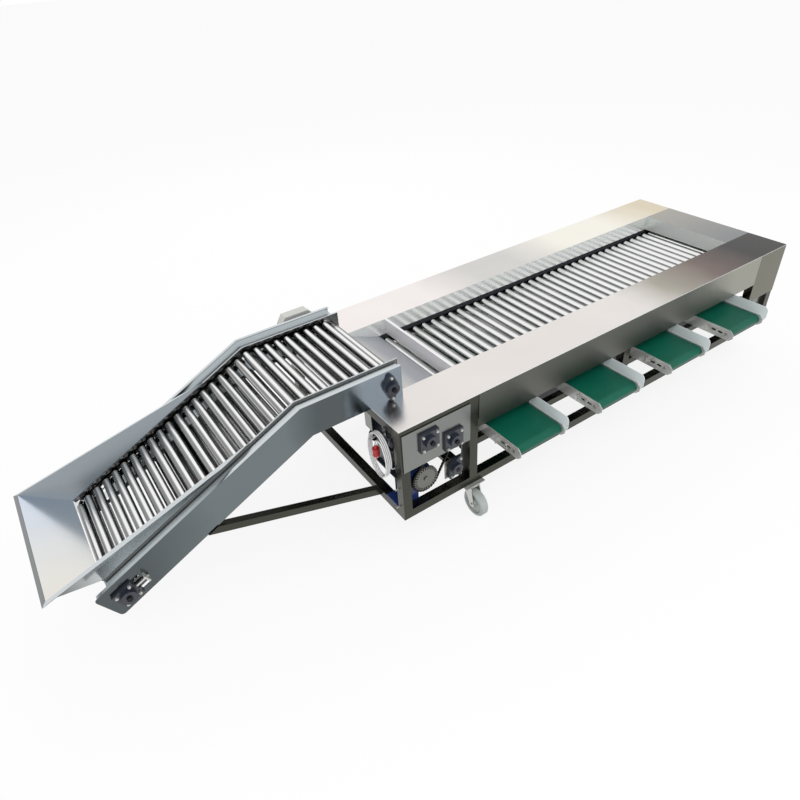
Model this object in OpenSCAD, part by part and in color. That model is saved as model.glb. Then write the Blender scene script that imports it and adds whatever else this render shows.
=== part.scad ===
/* [Main body] */
// Width of the main body over its skirts
body_w = 920; // [860:10:1100]
// Height from the underside of the lower rails to the cover tops
body_h = 457; // [440:1:520]
// Outside of the square frame tube
tube = 40; // [30:1:44]
// Wall of the square frame tube
tube_wall = 2; // [1.5:0.5:4]
// Thickness of the cover, skirt and panel sheet
sheet = 2; // [1:0.5:3]
// Width of the opening over the roller bed
bed_w = 500; // [460:2:560]
// Depth of the walls round the bed opening
wall_drop = 76; // [60:1:80]
// Length of the cover past the bed opening
end_cover_l = 200; // [150:5:260]
// Depth of the side skirts under the cover tops
skirt_drop = 161; // [120:1:190]
// Depth of the rear panels under the cover tops
rear_panel_drop = 262; // [200:1:300]
// Place of the second post from the front
post2_x = 350; // [345:1:360]

/* [Roller bed] */
// Roller spacings along the top of the bed
bed_top_n = 39; // [38:1:48]
// Distance between neighbouring bed rollers
bed_pitch = 53; // [52:0.5:56]
// Outside of a bed roller
bed_roller_d = 38; // [30:1:42]
// Wall of every roller tube
roller_wall = 2; // [1:0.5:4]
// Place of the bed's head shaft from the front
bed_head_x = 241; // [235:1:250]
// Depth of the bed's upper shafts under the cover tops
bed_shaft_drop = 149; // [146:1:156]
// Wanted drop from the upper to the lower shafts
bed_loop_drop = 187; // [170:1:200]
// Set-in of the lower shafts from the upper ones
bed_loop_inset = 30; // [20:1:40]
// Outside of every shaft
shaft_d = 20; // [16:1:22]
// Outside of the roller pins
pin_d = 10; // [6:1:12]

/* [Feed end] */
// Length of the flat front of the feed plate
feed_flat_l = 175; // [165:1:200]
// Where the feed plate's slope ends
feed_end_x = 372; // [350:1:376]
// Depth of the feed plate's lower edge
feed_drop = 80; // [60:1:84]
// Place of the levelling plate across the bed
leveller_x = 405; // [395:1:430]
// Depth of the levelling plate
leveller_drop = 70; // [50:1:80]

/* [Elevator] */
// Distance between neighbouring elevator rollers
elev_pitch = 45; // [42:0.5:47]
// Outside of an elevator roller
elev_roller_d = 32; // [26:1:34]
// Width over the elevator's side plates
elev_w = 562; // [550:2:580]
// Height of the elevator's side plates
elev_h = 134; // [130:1:140]
// Slope of the inclined section in degrees
incline_deg = 25.7; // [22:0.1:28]
// Place of the elevator's head shaft from the front
elev_head_x = 90; // [80:1:95]
// Height of the elevator's head shaft over the covers
elev_head_z = 62; // [62:1:64]
// Roller spacings along the flat section
elev_flat_n = 8; // [7:1:9]
// Wanted length from the bend to the tail shaft
incline_l = 820; // [700:5:900]
// Reach of the side plates past the head shaft
elev_head_over = 53; // [45:1:60]
// Reach of the side plates past the tail shaft
elev_tail_over = 77; // [60:1:85]
// Width of the folded top edge of the side plates
elev_flange = 14; // [10:1:22]
// Extra height of the far side plate over the near one
far_rise = 13; // [0:1:20]
// Outside of the strut tubes under the elevator
strut = 30; // [25:1:36]
// Distance from the bend to the strut's upper end
strut_at = 490; // [400:5:560]

/* [Hopper] */
// Width of the hopper's front rim without the lips
rim_w = 570; // [520:5:620]
// Reach of the front rim ahead of the main body
rim_x = 1209; // [1180:1:1260]
// Depth of the front rim under the cover tops
rim_drop = 159; // [140:1:180]
// Length of the side sheets up the incline from the tail shaft
side_sheet_l = 630; // [560:5:660]
// Width of the folded front lip
front_lip = 15; // [10:1:30]
// Width of the folded side lips
side_lip = 14; // [8:1:20]

/* [Discharge belts] */
// Number of discharge belts
belt_n = 4; // [2:1:4]
// Middle of the first belt from the front
belt_x = 565; // [540:1:590]
// Distance between neighbouring belts
belt_step = 456; // [430:1:470]
// Width of a belt
belt_w = 228; // [180:2:250]
// Thickness of a belt
belt_t = 2; // [1.5:0.5:4]
// Depth of the belt tops under the cover tops
belt_drop = 215; // [210:1:225]
// Reach of the belt noses from the middle of the machine
belt_reach = 615; // [580:5:660]
// Outside of the belt rollers
belt_roller_d = 44; // [36:1:48]
// Place of the line shaft from the middle of the machine
line_shaft_y = 300; // [290:1:320]
// Reach of the belt guides from the middle of the machine
guide_reach = 640; // [620:5:680]
// Height of the belt guides over the belts
guide_h = 53; // [35:1:60]
// Thickness of the belt side plates
side_plate = 4; // [3:0.5:6]

/* [Casters] */
// Height of a caster under the lower rails
caster_h = 160; // [150:1:180]
// Outside of a caster wheel
wheel_d = 125; // [100:1:130]
// Width of a caster wheel
wheel_w = 36; // [28:1:40]
// Set-back of the wheel from its swivel
trail = 40; // [30:1:45]

/* [Cable] */
// Outside of the power cable
cable_d = 6; // [5:0.5:6]
// Loops in the hung coil
coil_loops = 3; // [2:1:4]
// Width of the hung coil at the middle of the cable
coil_w = 130; // [120:5:140]
// Height of the hung coil at the middle of the cable
coil_h = 205; // [195:5:215]

/* [Hidden] */
$fn = 48;
run_clear = 0.05;   // shaft in its bore
air = 0.3;          // curved faces of different bodies
small = 0.01;

// Frame places, from the front edge of the covers, the middle and the cover tops
bed_top_l = bed_top_n * bed_pitch;
bed_tail_x = bed_head_x + bed_top_l;
rear_out = 23;      // the rear lower shaft lies behind the upper one
body_l = bed_tail_x + 122;
skin_y = body_w / 2;
tube_y = skin_y - sheet - tube / 2;
rail_end = body_l - sheet;
upper_z = -sheet - tube / 2;
lower_z = -body_h + tube / 2;
rail_top = -body_h + tube;
post_top = -sheet - tube;
inner_y = tube_y - tube / 2;
rear_post_x = bed_tail_x - 50 - tube / 2;
bay_end = rear_post_x - tube / 2 - 3;
mid_post_x = belt_x + belt_step * (ceil(belt_n / 2) - 0.5);
post_xs = [tube / 2, post2_x, mid_post_x, rear_post_x, rail_end - tube / 2];
bearer = 30;
drive_plate = 4;
drive_plate_drop = 205;

// Chain and sprocket sizes shared by the bed and the elevator
chain_t = 8;
chain_h = 12;
pin_gap = 14;
sprocket_t = 8;
link_over = 15;
bed_half = bed_w / 2 - 20;
bed_pin_end = bed_half + pin_gap;
elev_half = elev_w / 2 - 69;
elev_pin_end = elev_half + pin_gap;
bed_teeth = 5;
elev_teeth = 6;
bed_r = bed_teeth * bed_pitch / (2 * PI);
elev_r = elev_teeth * elev_pitch / (2 * PI);

// Bed loop: four shafts, clockwise from the head shaft as seen from the near side
bed_low_l = bed_top_l - bed_loop_inset + rear_out;
bed_sides_want = sqrt(pow(bed_loop_drop, 2) + pow(bed_loop_inset, 2))
    + sqrt(pow(bed_loop_drop, 2) + pow(rear_out, 2));
bed_n = round((bed_top_l + bed_low_l + bed_sides_want) / bed_pitch) + bed_teeth;
bed_sides = (bed_n - bed_teeth) * bed_pitch - bed_top_l - bed_low_l;
bed_front_l = (bed_sides + (pow(bed_loop_inset, 2) - pow(rear_out, 2)) / bed_sides) / 2;
bed_rear_l = bed_sides - bed_front_l;
bed_drop = sqrt(pow(bed_front_l, 2) - pow(bed_loop_inset, 2));
bed_low_z = -bed_shaft_drop - bed_drop;
bed_c = [[bed_head_x, -bed_shaft_drop], [bed_tail_x, -bed_shaft_drop],
         [bed_tail_x + rear_out, bed_low_z], [bed_head_x + bed_loop_inset, bed_low_z]];

// Elevator loop: head shaft, lower bend, tail shaft and upper bend on its middle line
half_bend = tan(incline_deg / 2);
up = [-sin(incline_deg), cos(incline_deg)];
down = [-cos(incline_deg), -sin(incline_deg)];
elev_flat_l = elev_flat_n * elev_pitch - elev_r * half_bend;
bend = [elev_head_x - elev_flat_l, elev_head_z];
elev_n = round(2 * (elev_flat_l + incline_l) / elev_pitch) + elev_teeth;
tail_l = (elev_n - elev_teeth) * elev_pitch / 2 - elev_flat_l;
tail = bend + tail_l * down;
plate_end = tail_l + elev_tail_over;
elev_skin = elev_w / 2;
elev_in = elev_skin - sheet;
elev_top = elev_h - elev_head_z;
elev_bottom = -elev_head_z;
elev_out_x = elev_head_x + elev_head_over;
guard_y = elev_pin_end;
guard_w = 6;
guard_low = elev_r + chain_h / 2 + 8;

// Points of the elevator's side view at a distance along the incline and off its middle line
function on_incline(s, off) = bend + s * down + off * up;
function at_bend(off) = [bend.x - off * half_bend, bend.y + off];
function elev_strip(lo, hi, out_x, end_s) = [
    [out_x, bend.y + lo], [out_x, bend.y + hi], at_bend(hi),
    on_incline(end_s, hi), on_incline(end_s, lo), at_bend(lo)];

// Belt places
belt_xs = [for (i = [0:belt_n - 1]) belt_x + i * belt_step];
belt_r = belt_roller_d / 2;
nose_y = -(belt_reach - belt_r - air - belt_t);
belt_axis_z = -belt_drop - belt_t - air - belt_r;
plate_gap = 3;
plate_top = -belt_drop + 2;
plate_low = belt_axis_z - belt_r - 6;
plate_front = nose_y - 38;
plate_back = inner_y - 8;
bearer_z = plate_low - bearer / 2;
axle_r = 6;

// Drives
counter = [127, -96];
gear = [bed_head_x - 121, -bed_shaft_drop - 157];
gear_y = [-445, -435];
gear_r = 56;
drive_r = 28;
link_pitch = 13;
link_r = 4.5;
bar_r = 2.5;
drive_t = 10;
motor_c = [55, -125];
motor_r = 42;
motor_y = [-368, -200];
shelf_z = -255;
shelf_t = 6;
elev_gear = [62, -210];
elev_drive_y = -188;
head_drive_y = elev_skin + 39;

// Bearing unit sizes
flange = 86;
small_flange = 76;
flange_t = 12;
bearing_t = 28;
boss_r = 27;
bolt_in = 11;
oblong_w = 60;
oblong_bolt = 45;
oblong_tip = 12;
bolt_r = 6;
bolt_h = 6;
front_face = skin_y - sheet + drive_plate;
bracket_y = tube_y - 8;
rear_plate_y = tube_y + 2;
elev_face = elev_skin;
shaft_over = 6;
far_reach = front_face + bearing_t + shaft_over;

// Casters under the second posts and the rear cross rails
caster_plate = [100, 76, 4];
caster_at = [[post2_x, tube_y], [rail_end - caster_plate.x / 2, body_w / 4]];
wheel_z = -body_h - caster_h + wheel_d / 2;
wheel_axle_r = 6;
king_r = 8;
fork_t = 4;
fork_gap = 3;

// Cable places: the coil hangs from a hook in front of the frame, the plug inside the coil
peg_r = 5;
coil_x = -14;
coil_c = [-350, -165];
coil_step = cable_d + 1.5;
peg_z = coil_c.y + coil_h / 2 - cable_d / 2 - peg_r - air;
lead_end = [38, -380, -132];
lead_pts = [[coil_x, -415, -165.4], [-14, -414.5, -177], [-14, -413, -188], [-12.4, -411, -198.9],
            [-7.9, -408.5, -206.7], [-1, -406, -212.5], [7.5, -404, -215.6], [16.5, -402, -215.6],
            [25, -400, -212.5], [31.9, -398, -206.7], [36.4, -396, -198.9], [38, -393.5, -190],
            [38, -389.5, -178], [38, -385, -165], [38, -381.5, -153], [38, -380, -142], lead_end];
tail_x = coil_x - (coil_loops + 1 / 8) * coil_step;
tail_turn = 25;
tail_from = atan2(coil_w, -coil_h);
tail_c = coil_c + [-coil_w, coil_h] * (sqrt(0.5) / 2)
    + tail_turn * [coil_h, -coil_w] / norm([coil_w, coil_h]);
plug_at = [tail_x, tail_c.x + tail_turn, tail_c.y - 4];
tail_pts = [for (k = [1:7]) let (a = tail_from * (1 - k / 7))
                [tail_x, tail_c.x + tail_turn * cos(a), tail_c.y + tail_turn * sin(a)],
            plug_at];

// Whole part: middle of its box on the floor
mid_x = (body_l - rim_x - front_lip) / 2;
mid_y = (far_reach - guide_reach) / 2;
floor_z = -body_h - caster_h;

steel = "#b9bcbd";
mirror_steel = "#d9d8d6";
dark_steel = "#57554b";
chain_steel = "#4a4a4a";
roller_steel = "#e4e4e4";
machine_blue = "#22416b";
cast_grey = "#77797a";
belt_green = "#116148";
white = "#f2f2f2";

// Stands the whole part on the floor about the middle of its box
module place() {
    translate([-mid_x, -mid_y, -floor_z]) children();
}

module both_sides() {
    children();
    mirror([0, 1, 0]) children();
}

module block(x, y, z) {
    translate([x[0], y[0], z[0]]) cube([x[1] - x[0], y[1] - y[0], z[1] - z[0]]);
}

module bar_y(c, y, r) {
    translate([c.x, y[0], c.y]) rotate([-90, 0, 0]) cylinder(r = r, h = y[1] - y[0]);
}

module bar_x(y, z, x, r) {
    translate([x[0], y, z]) rotate([0, 90, 0]) cylinder(r = r, h = x[1] - x[0]);
}

// A side-view outline given a thickness across the machine
module across(y) {
    translate([0, y[1], 0]) rotate([90, 0, 0]) linear_extrude(y[1] - y[0]) children();
}

// An end-view outline given a thickness along the machine
module along(x) {
    translate([x[0], 0, 0]) rotate([90, 0, 90]) linear_extrude(x[1] - x[0]) children();
}

module tube_along(x, y, z, side) {
    difference() {
        block(x, [y - side / 2, y + side / 2], [z - side / 2, z + side / 2]);
        block([x[0] - 1, x[1] + 1], [y - side / 2 + tube_wall, y + side / 2 - tube_wall],
              [z - side / 2 + tube_wall, z + side / 2 - tube_wall]);
    }
}

module tube_across(x, y, z, side) {
    difference() {
        block([x - side / 2, x + side / 2], y, [z - side / 2, z + side / 2]);
        block([x - side / 2 + tube_wall, x + side / 2 - tube_wall], [y[0] - 1, y[1] + 1],
              [z - side / 2 + tube_wall, z + side / 2 - tube_wall]);
    }
}

module tube_up(x, y, z, side) {
    difference() {
        block([x - side / 2, x + side / 2], [y - side / 2, y + side / 2], z);
        block([x - side / 2 + tube_wall, x + side / 2 - tube_wall],
              [y - side / 2 + tube_wall, y + side / 2 - tube_wall], [z[0] - 1, z[1] + 1]);
    }
}

// A flat sheet between points that lie in one plane
module plane_sheet(pts, t) {
    n = len(pts);
    normal = cross(pts[1] - pts[0], pts[2] - pts[0]);
    step = normal * (t / 2 / norm(normal));
    polyhedron(
        [for (p = pts) p + step, for (p = pts) p - step],
        [[for (i = [n - 1:-1:0]) i], [for (i = [0:n - 1]) n + i],
         for (i = [0:n - 1]) [i, (i + 1) % n, n + (i + 1) % n, n + i]]);
}

// A round tube of few sides along points
function tube_ring(pts, i, r, sides) =
    let (a = pts[max(i - 1, 0)], b = pts[min(i + 1, len(pts) - 1)], t = (b - a) / norm(b - a),
         s = cross(t, abs(t.x) < 0.9 ? [1, 0, 0] : [0, 1, 0]), u = s / norm(s), v = cross(t, u))
    [for (k = [0:sides - 1]) pts[i] + r * (cos(k * 360 / sides) * u + sin(k * 360 / sides) * v)];

module swept_tube(pts, r, sides) {
    n = len(pts);
    polyhedron(
        [for (i = [0:n - 1]) each tube_ring(pts, i, r, sides)],
        [[for (k = [0:sides - 1]) k], [for (k = [sides - 1:-1:0]) (n - 1) * sides + k],
         for (i = [0:n - 2]) for (k = [0:sides - 1]) each
            let (a = i * sides + k, b = i * sides + (k + 1) % sides)
            [[a, a + sides, b], [b, a + sides, b + sides]]]);
}

// Roller loops. A roller is a capped tube with stub pins, pierced along its axis.
module roller(r, half, pin_end) {
    vent = 1.5;
    pin = pin_d / 2;
    rotate([90, 0, 0]) rotate_extrude() polygon([
        [vent, -pin_end], [pin, -pin_end], [pin, -half], [r, -half], [r, half], [pin, half],
        [pin, pin_end], [vent, pin_end], [vent, half - roller_wall],
        [r - roller_wall, half - roller_wall], [r - roller_wall, roller_wall - half],
        [vent, roller_wall - half]]);
}

// A straight run of rollers between two chains, first roller at a point, stepping along an angle
module run(start, angle, count, pitch, r, half, pin_end) {
    translate([start.x, 0, start.y]) rotate([0, -angle, 0]) {
        for (i = [0:count - 1]) {
            translate([i * pitch, 0, 0]) roller(r, half, pin_end + chain_t / 2);
        }
        both_sides() block([-link_over, (count - 1) * pitch + link_over],
                           [pin_end, pin_end + chain_t], [-chain_h / 2, chain_h / 2]);
    }
}

// Rollers and chain that lie round a sprocket, from one angle clockwise
module wrap(centre, loop_r, from, count, teeth, r, half, pin_end) {
    step = 360 / teeth;
    over = link_over / loop_r * 180 / PI;
    translate([centre.x, 0, centre.y]) {
        for (i = [0:count - 1]) {
            rotate([0, i * step - from, 0]) translate([loop_r, 0, 0])
                roller(r, half, pin_end + chain_t / 2);
        }
        both_sides() translate([0, pin_end + chain_t, 0]) rotate([90, 0, 0])
            rotate([0, 0, from - (count - 1) * step - over])
            rotate_extrude(angle = (count - 1) * step + 2 * over)
            translate([loop_r - chain_h / 2, 0]) square([chain_h, chain_t]);
    }
}

// A chain wheel with one tooth between neighbouring pins
module sprocket(loop_r, teeth, y, from) {
    root = loop_r - pin_d / 2 - air;
    tip = loop_r - 2;
    step = 360 / teeth;
    across([y - sprocket_t / 2, y + sprocket_t / 2]) {
        circle(r = root);
        for (i = [0:teeth - 1]) {
            a = from + (i + 0.5) * step;
            polygon([(root - 4) * [cos(a + 14), sin(a + 14)], tip * [cos(a + 6), sin(a + 6)],
                     tip * [cos(a - 6), sin(a - 6)], (root - 4) * [cos(a - 14), sin(a - 14)]]);
        }
    }
}

module loop_shaft(centre, loop_r, teeth, half, y, from) {
    translate([centre.x, 0, centre.y]) {
        bar_y([0, 0], y, shaft_d / 2);
        for (side = [-1, 1]) sprocket(loop_r, teeth, side * (half + pin_gap / 2), from);
    }
}

// Where each run and wrap of the bed loop starts, counted in pitches from the head shaft
front_lean = asin(bed_loop_inset / bed_front_l);
rear_lean = asin(rear_out / bed_rear_l);
bed_phi = [90, rear_lean, -90, front_lean - 180];
bed_tail_u = bed_top_n;
bed_rear_u = bed_tail_u + (90 - rear_lean) / 360 * bed_teeth;
bed_low_rear_u = bed_rear_u + bed_rear_l / bed_pitch;
bed_return_u = bed_low_rear_u + (90 + rear_lean) / 360 * bed_teeth;
bed_low_front_u = bed_return_u + bed_low_l / bed_pitch;
bed_front_u = bed_low_front_u + (90 - front_lean) / 360 * bed_teeth;
bed_head_u = bed_front_u + bed_front_l / bed_pitch;
function first_in(u) = ceil(u - 0.5);
function beside_rear_run(s, off) = bed_c[1]
    + (bed_r + chain_h / 2 + air + off) * [cos(rear_lean), sin(rear_lean)]
    + s * [sin(rear_lean), -cos(rear_lean)];
function bed_off(k) = bed_r * [cos(bed_phi[k]), sin(bed_phi[k])];

module bed_run(k, u_from, u_to) {
    dir = bed_phi[k] - 90;
    i0 = first_in(u_from);
    start = bed_c[k] + bed_off(k) + (i0 - u_from) * bed_pitch * [cos(dir), sin(dir)];
    run(start, dir, first_in(u_to) - i0, bed_pitch, bed_roller_d / 2, bed_half, bed_pin_end);
}

module bed_shaft(k, u_from, u_to, y) {
    step = 360 / bed_teeth;
    i0 = first_in(u_from);
    from = bed_phi[(k + 3) % 4] - (i0 - u_from) * step;
    color(chain_steel) loop_shaft(bed_c[k], bed_r, bed_teeth, bed_half, y, from);
    color(roller_steel) wrap(bed_c[k], bed_r, from, first_in(u_to) - i0, bed_teeth,
                             bed_roller_d / 2, bed_half, bed_pin_end);
}

// The same for the elevator loop, counted from the upper bend
elev_head_u = elev_flat_n;
elev_low_u = elev_head_u + elev_teeth / 2;
elev_low_flat_l = elev_flat_l - elev_r * half_bend;
elev_low_bend_u = elev_low_u + elev_low_flat_l / elev_pitch;
elev_low_incline_l = tail_l - elev_r * half_bend;
elev_tail_u = elev_low_bend_u + elev_low_incline_l / elev_pitch;
elev_up_u = elev_tail_u + elev_teeth / 2;

module elev_run(start, dir, u_from, u_to) {
    i0 = first_in(u_from);
    run(start + (i0 - u_from) * elev_pitch * [cos(dir), sin(dir)], dir, first_in(u_to) - i0,
        elev_pitch, elev_roller_d / 2, elev_half, elev_pin_end);
}

module elev_shaft(centre, phi, u_from, u_to, y) {
    step = 360 / elev_teeth;
    i0 = first_in(u_from);
    from = phi - (i0 - u_from) * step;
    color(chain_steel) loop_shaft(centre, elev_r, elev_teeth, elev_half, y, from);
    color(roller_steel) wrap(centre, elev_r, from, first_in(u_to) - i0, elev_teeth,
                             elev_roller_d / 2, elev_half, elev_pin_end);
}

// Frame of square tube
module posts() {
    place() color(dark_steel) both_sides() {
        for (x = [post_xs[0], post_xs[4]]) tube_up(x, tube_y, [-body_h, -sheet], tube);
        for (i = [1:3]) tube_up(post_xs[i], tube_y, [rail_top, post_top], tube);
    }
}

module long_rails() {
    place() color(dark_steel) both_sides() {
        for (z = [upper_z, lower_z]) tube_along([tube, rail_end - tube], tube_y, z, tube);
        tube_along([post2_x - tube / 2, rear_post_x + tube / 2], inner_y - bearer / 2, bearer_z, bearer);
    }
}

module cross_rails() {
    place() color(dark_steel) {
        for (x = [post_xs[0], post_xs[4]]) tube_across(x, [-inner_y, inner_y], upper_z, tube);
        for (x = [each post_xs, rail_end - caster_plate.x + tube / 2]) {
            tube_across(x, [-inner_y, inner_y], lower_z, tube);
        }
    }
}

// Top covers with the walls of the bed opening
module side_cover() {
    block([0, body_l], [bed_w / 2, skin_y], [-sheet, 0]);
    block([tube, body_l - end_cover_l], [bed_w / 2, bed_w / 2 + sheet], [-wall_drop, -sheet + small]);
}

module near_cover() {
    place() color(mirror_steel) mirror([0, 1, 0]) side_cover();
}

module far_cover() {
    place() color(mirror_steel) difference() {
        side_cover();
        block([elev_head_x - drive_r - 14, counter.x + drive_r + 14],
              [head_drive_y - drive_t, head_drive_y + drive_t], [-sheet - 1, 1]);
    }
}

module end_cover() {
    place() color(mirror_steel) {
        block([body_l - end_cover_l, body_l], [-bed_w / 2, bed_w / 2], [-sheet, 0]);
        block([body_l - end_cover_l, body_l - end_cover_l + sheet], [-bed_w / 2, bed_w / 2],
              [-wall_drop, -sheet + small]);
    }
}

module feed_plate() {
    place() color(steel) across([-bed_w / 2, bed_w / 2]) polygon([
        [0, 0], [feed_flat_l, 0], [feed_end_x, -feed_drop], [feed_end_x, -feed_drop - sheet],
        [feed_flat_l - sheet / 2, -sheet], [0, -sheet]]);
}

module leveller_plate() {
    fold = 12;
    place() color(mirror_steel) across([-bed_w / 2, bed_w / 2]) polygon([
        [leveller_x, -leveller_drop], [leveller_x + sheet, -leveller_drop],
        [leveller_x + sheet, -sheet], [leveller_x + fold, -sheet], [leveller_x + fold, 0],
        [leveller_x, 0]]);
}

module side_skirts() {
    place() color(dark_steel) both_sides() {
        block([post2_x + tube / 2 + 3, bay_end], [skin_y - sheet, skin_y], [-skirt_drop, -sheet]);
    }
}

module end_panels() {
    place() color(dark_steel) {
        both_sides() block([bay_end, rail_end], [skin_y - sheet, skin_y], [-rear_panel_drop, -sheet]);
        block([rail_end, body_l], [-skin_y, skin_y], [-rear_panel_drop, -sheet]);
    }
}

// Plates that carry the shaft bearings
module drive_plates() {
    hole_r = shaft_d / 2 + 3;
    reach = flange / 2 + 4;
    hanger_x = [4, motor_c.x - motor_r - 1];
    hook = 12;
    place() color(steel) {
        block(hanger_x, [-262, -212], [motor_c.y, post_top]);
        block(hanger_x, [coil_c.x - hook, coil_c.x + hook], [peg_z - hook, post_top]);
        bar_x(coil_c.x, peg_z, [tail_x - 10, hanger_x[0] + small], peg_r);
    }
    place() color(steel) both_sides() {
        difference() {
            block([10, post2_x - tube / 2 - 2], [skin_y - sheet, front_face], [-drive_plate_drop, -25]);
            for (c = [counter, bed_c[0]]) bar_y(c, [skin_y - 5, front_face + 1], hole_r);
        }
        difference() {
            union() {
                block([bed_c[3].x - reach, post2_x - tube / 2], [bracket_y - 4, bracket_y],
                      [bed_c[3].y - reach, bed_c[3].y + reach]);
                block([post2_x - tube, post2_x - tube / 2], [bracket_y - 4, bracket_y],
                      [rail_top, -drive_plate_drop]);
            }
            bar_y(bed_c[3], [bracket_y - 5, bracket_y + 1], hole_r);
        }
        difference() {
            block([rear_post_x + tube / 2, rail_end - tube], [rear_plate_y - 4, rear_plate_y],
                  [bed_c[2].y - reach, post_top]);
            for (c = [bed_c[1], bed_c[2]]) bar_y(c, [rear_plate_y - 5, rear_plate_y + 1], hole_r);
        }
    }
}

// Strips that the chains slide on
module chain_rails() {
    strip = 4;
    web_y = bed_pin_end + 12;
    top_z = bed_c[0].y + bed_r - chain_h / 2 - air;
    return_z = bed_c[3].y - bed_r - chain_h / 2 - air;
    place() color(white) both_sides() {
        block([bed_head_x + 50, bed_tail_x - 50], [bed_pin_end, web_y], [top_z - 14, top_z]);
        block([bed_head_x + 50, bed_tail_x - 50], [web_y, web_y + strip], [top_z - 14, -sheet]);
        block([bed_c[3].x + 50, bed_c[2].x - 50], [bed_pin_end, web_y], [rail_top, return_z]);
        across([bed_pin_end, rear_plate_y - 4]) polygon([
            beside_rear_run(70, 0), beside_rear_run(120, 0),
            beside_rear_run(120, 8), beside_rear_run(70, 8)]);
    }
}

// Flanged bearing units, drawn on a face that looks along +Y
module bearing_unit(side) {
    difference() {
        union() {
            block([-side / 2, side / 2], [0, flange_t], [-side / 2, side / 2]);
            bar_y([0, 0], [0, bearing_t], boss_r);
        }
        bar_y([0, 0], [-1, bearing_t + 1], shaft_d / 2 + run_clear);
    }
}

module oblong_unit() {
    difference() {
        union() {
            across([0, flange_t]) {
                circle(r = oblong_w / 2);
                for (z = [-oblong_bolt, oblong_bolt]) translate([0, z]) circle(r = oblong_tip);
                for (side = [-1, 1]) polygon([
                    [-oblong_w / 2 + 1, 8 * side], [-oblong_tip + 1, (oblong_bolt + 6) * side],
                    [oblong_tip - 1, (oblong_bolt + 6) * side], [oblong_w / 2 - 1, 8 * side]]);
            }
            bar_y([0, 0], [0, bearing_t], boss_r - 2);
        }
        bar_y([0, 0], [-1, bearing_t + 1], shaft_d / 2 + run_clear);
    }
}

module at_bearings() {
    both_sides() {
        for (c = [counter, bed_c[0]]) translate([c.x, front_face, c.y]) children();
        for (c = [bed_c[1], bed_c[2]]) {
            translate([c.x, rear_plate_y - 4, c.y]) mirror([0, 1, 0]) children();
        }
    }
}

module at_tail_bearings() {
    both_sides() translate([tail.x, elev_face, tail.y]) rotate([0, -incline_deg, 0]) children();
}

module at_oblong_bearings() {
    both_sides() {
        translate([bed_c[3].x, bracket_y, bed_c[3].y]) rotate([0, 30, 0]) children();
        translate([elev_head_x, elev_face, elev_head_z]) children();
    }
}

module bearing_units() {
    place() color(machine_blue) {
        at_bearings() bearing_unit(flange);
        at_tail_bearings() bearing_unit(small_flange);
        at_oblong_bearings() oblong_unit();
    }
}

// Motors and gearboxes
module finned_motor(r, l) {
    fins = 16;
    fin_h = 5;
    slots = 40;
    slot_from = 0.72 * r;
    cylinder(r = r - fin_h, h = l);
    difference() {
        cylinder(r = r, h = 18);
        for (i = [0:slots - 1]) {
            rotate([0, 0, i * 360 / slots]) translate([slot_from, -1.5, -1]) cube([r, 3, 9]);
        }
    }
    translate([0, 0, -3]) cylinder(r = 0.22 * r, h = 4);
    translate([0, 0, l - 10]) cylinder(r = r, h = 10);
    for (i = [0:fins - 1]) {
        rotate([0, 0, i * 360 / fins]) translate([r - fin_h - 3, -1.5, 17]) cube([fin_h + 2, 3, l - 26]);
    }
}

bed_motor_r = 52;
bed_motor_y = -190;
bed_box_y = [-425, -330];

module bed_motor() {
    place() color(machine_blue) translate([gear.x, bed_motor_y, gear.y - 12]) rotate([90, 0, 0])
        finned_motor(bed_motor_r, bed_motor_y - bed_box_y[1]);
}

module bed_gearbox() {
    box_x = [gear.x - 75, gear.x + 30];
    box_low = gear.y - 69;
    foot_x = 98;
    foot_t = 6;
    place() color(machine_blue) difference() {
        union() {
            block(box_x, bed_box_y, [box_low, shelf_z - shelf_t]);
            block([box_x[0], foot_x], [-inner_y, bed_box_y[1]], [rail_top, box_low + small]);
            block([0, foot_x], [-inner_y, bed_box_y[1]], [rail_top, rail_top + foot_t]);
        }
        bar_y(gear, [bed_box_y[0] - 1, bed_box_y[0] + 30], shaft_d / 2 + run_clear);
    }
}

module elevator_motor() {
    box_half = 50;
    box_top = motor_c.y - 30;
    box_y = [motor_y[0] - 7, motor_y[0] + 94];
    terminal = 26;
    place() color(machine_blue) difference() {
        union() {
            block([elev_gear.x - box_half, elev_gear.x + box_half], box_y, [shelf_z, box_top]);
            translate([motor_c.x, motor_y[1], motor_c.y]) rotate([90, 0, 0])
                finned_motor(motor_r, motor_y[1] - motor_y[0]);
            block([lead_end.x - terminal / 2, lead_end.x + terminal],
                  [lead_end.y - terminal / 2, motor_y[0] + 1], [lead_end.z + 10, lead_end.z + 66]);
            translate(lead_end) cylinder(r = cable_d, h = 11);
            block([0, elev_gear.x + 70], [-inner_y, box_y[1]], [shelf_z - shelf_t, shelf_z + small]);
        }
        bar_y(elev_gear, [box_y[1] - 30, box_y[1] + 1], shaft_d / 2 + run_clear);
    }
}

belt_motor_x = bed_tail_x - 30;
module belt_motor() {
    r = 40;
    box_l = 50;
    place() color(machine_blue) difference() {
        union() {
            block([belt_motor_x, belt_motor_x + box_l], [line_shaft_y - r, line_shaft_y + r],
                  [belt_axis_z - r, belt_axis_z + r]);
            translate([belt_motor_x + box_l / 2, line_shaft_y + r - small, belt_axis_z]) rotate([-90, 0, 0])
                finned_motor(r, rear_plate_y - 4 - line_shaft_y - r + small);
        }
        bar_x(line_shaft_y, belt_axis_z, [belt_motor_x - 1, belt_motor_x + 30], shaft_d / 2 + run_clear);
    }
}

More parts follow.
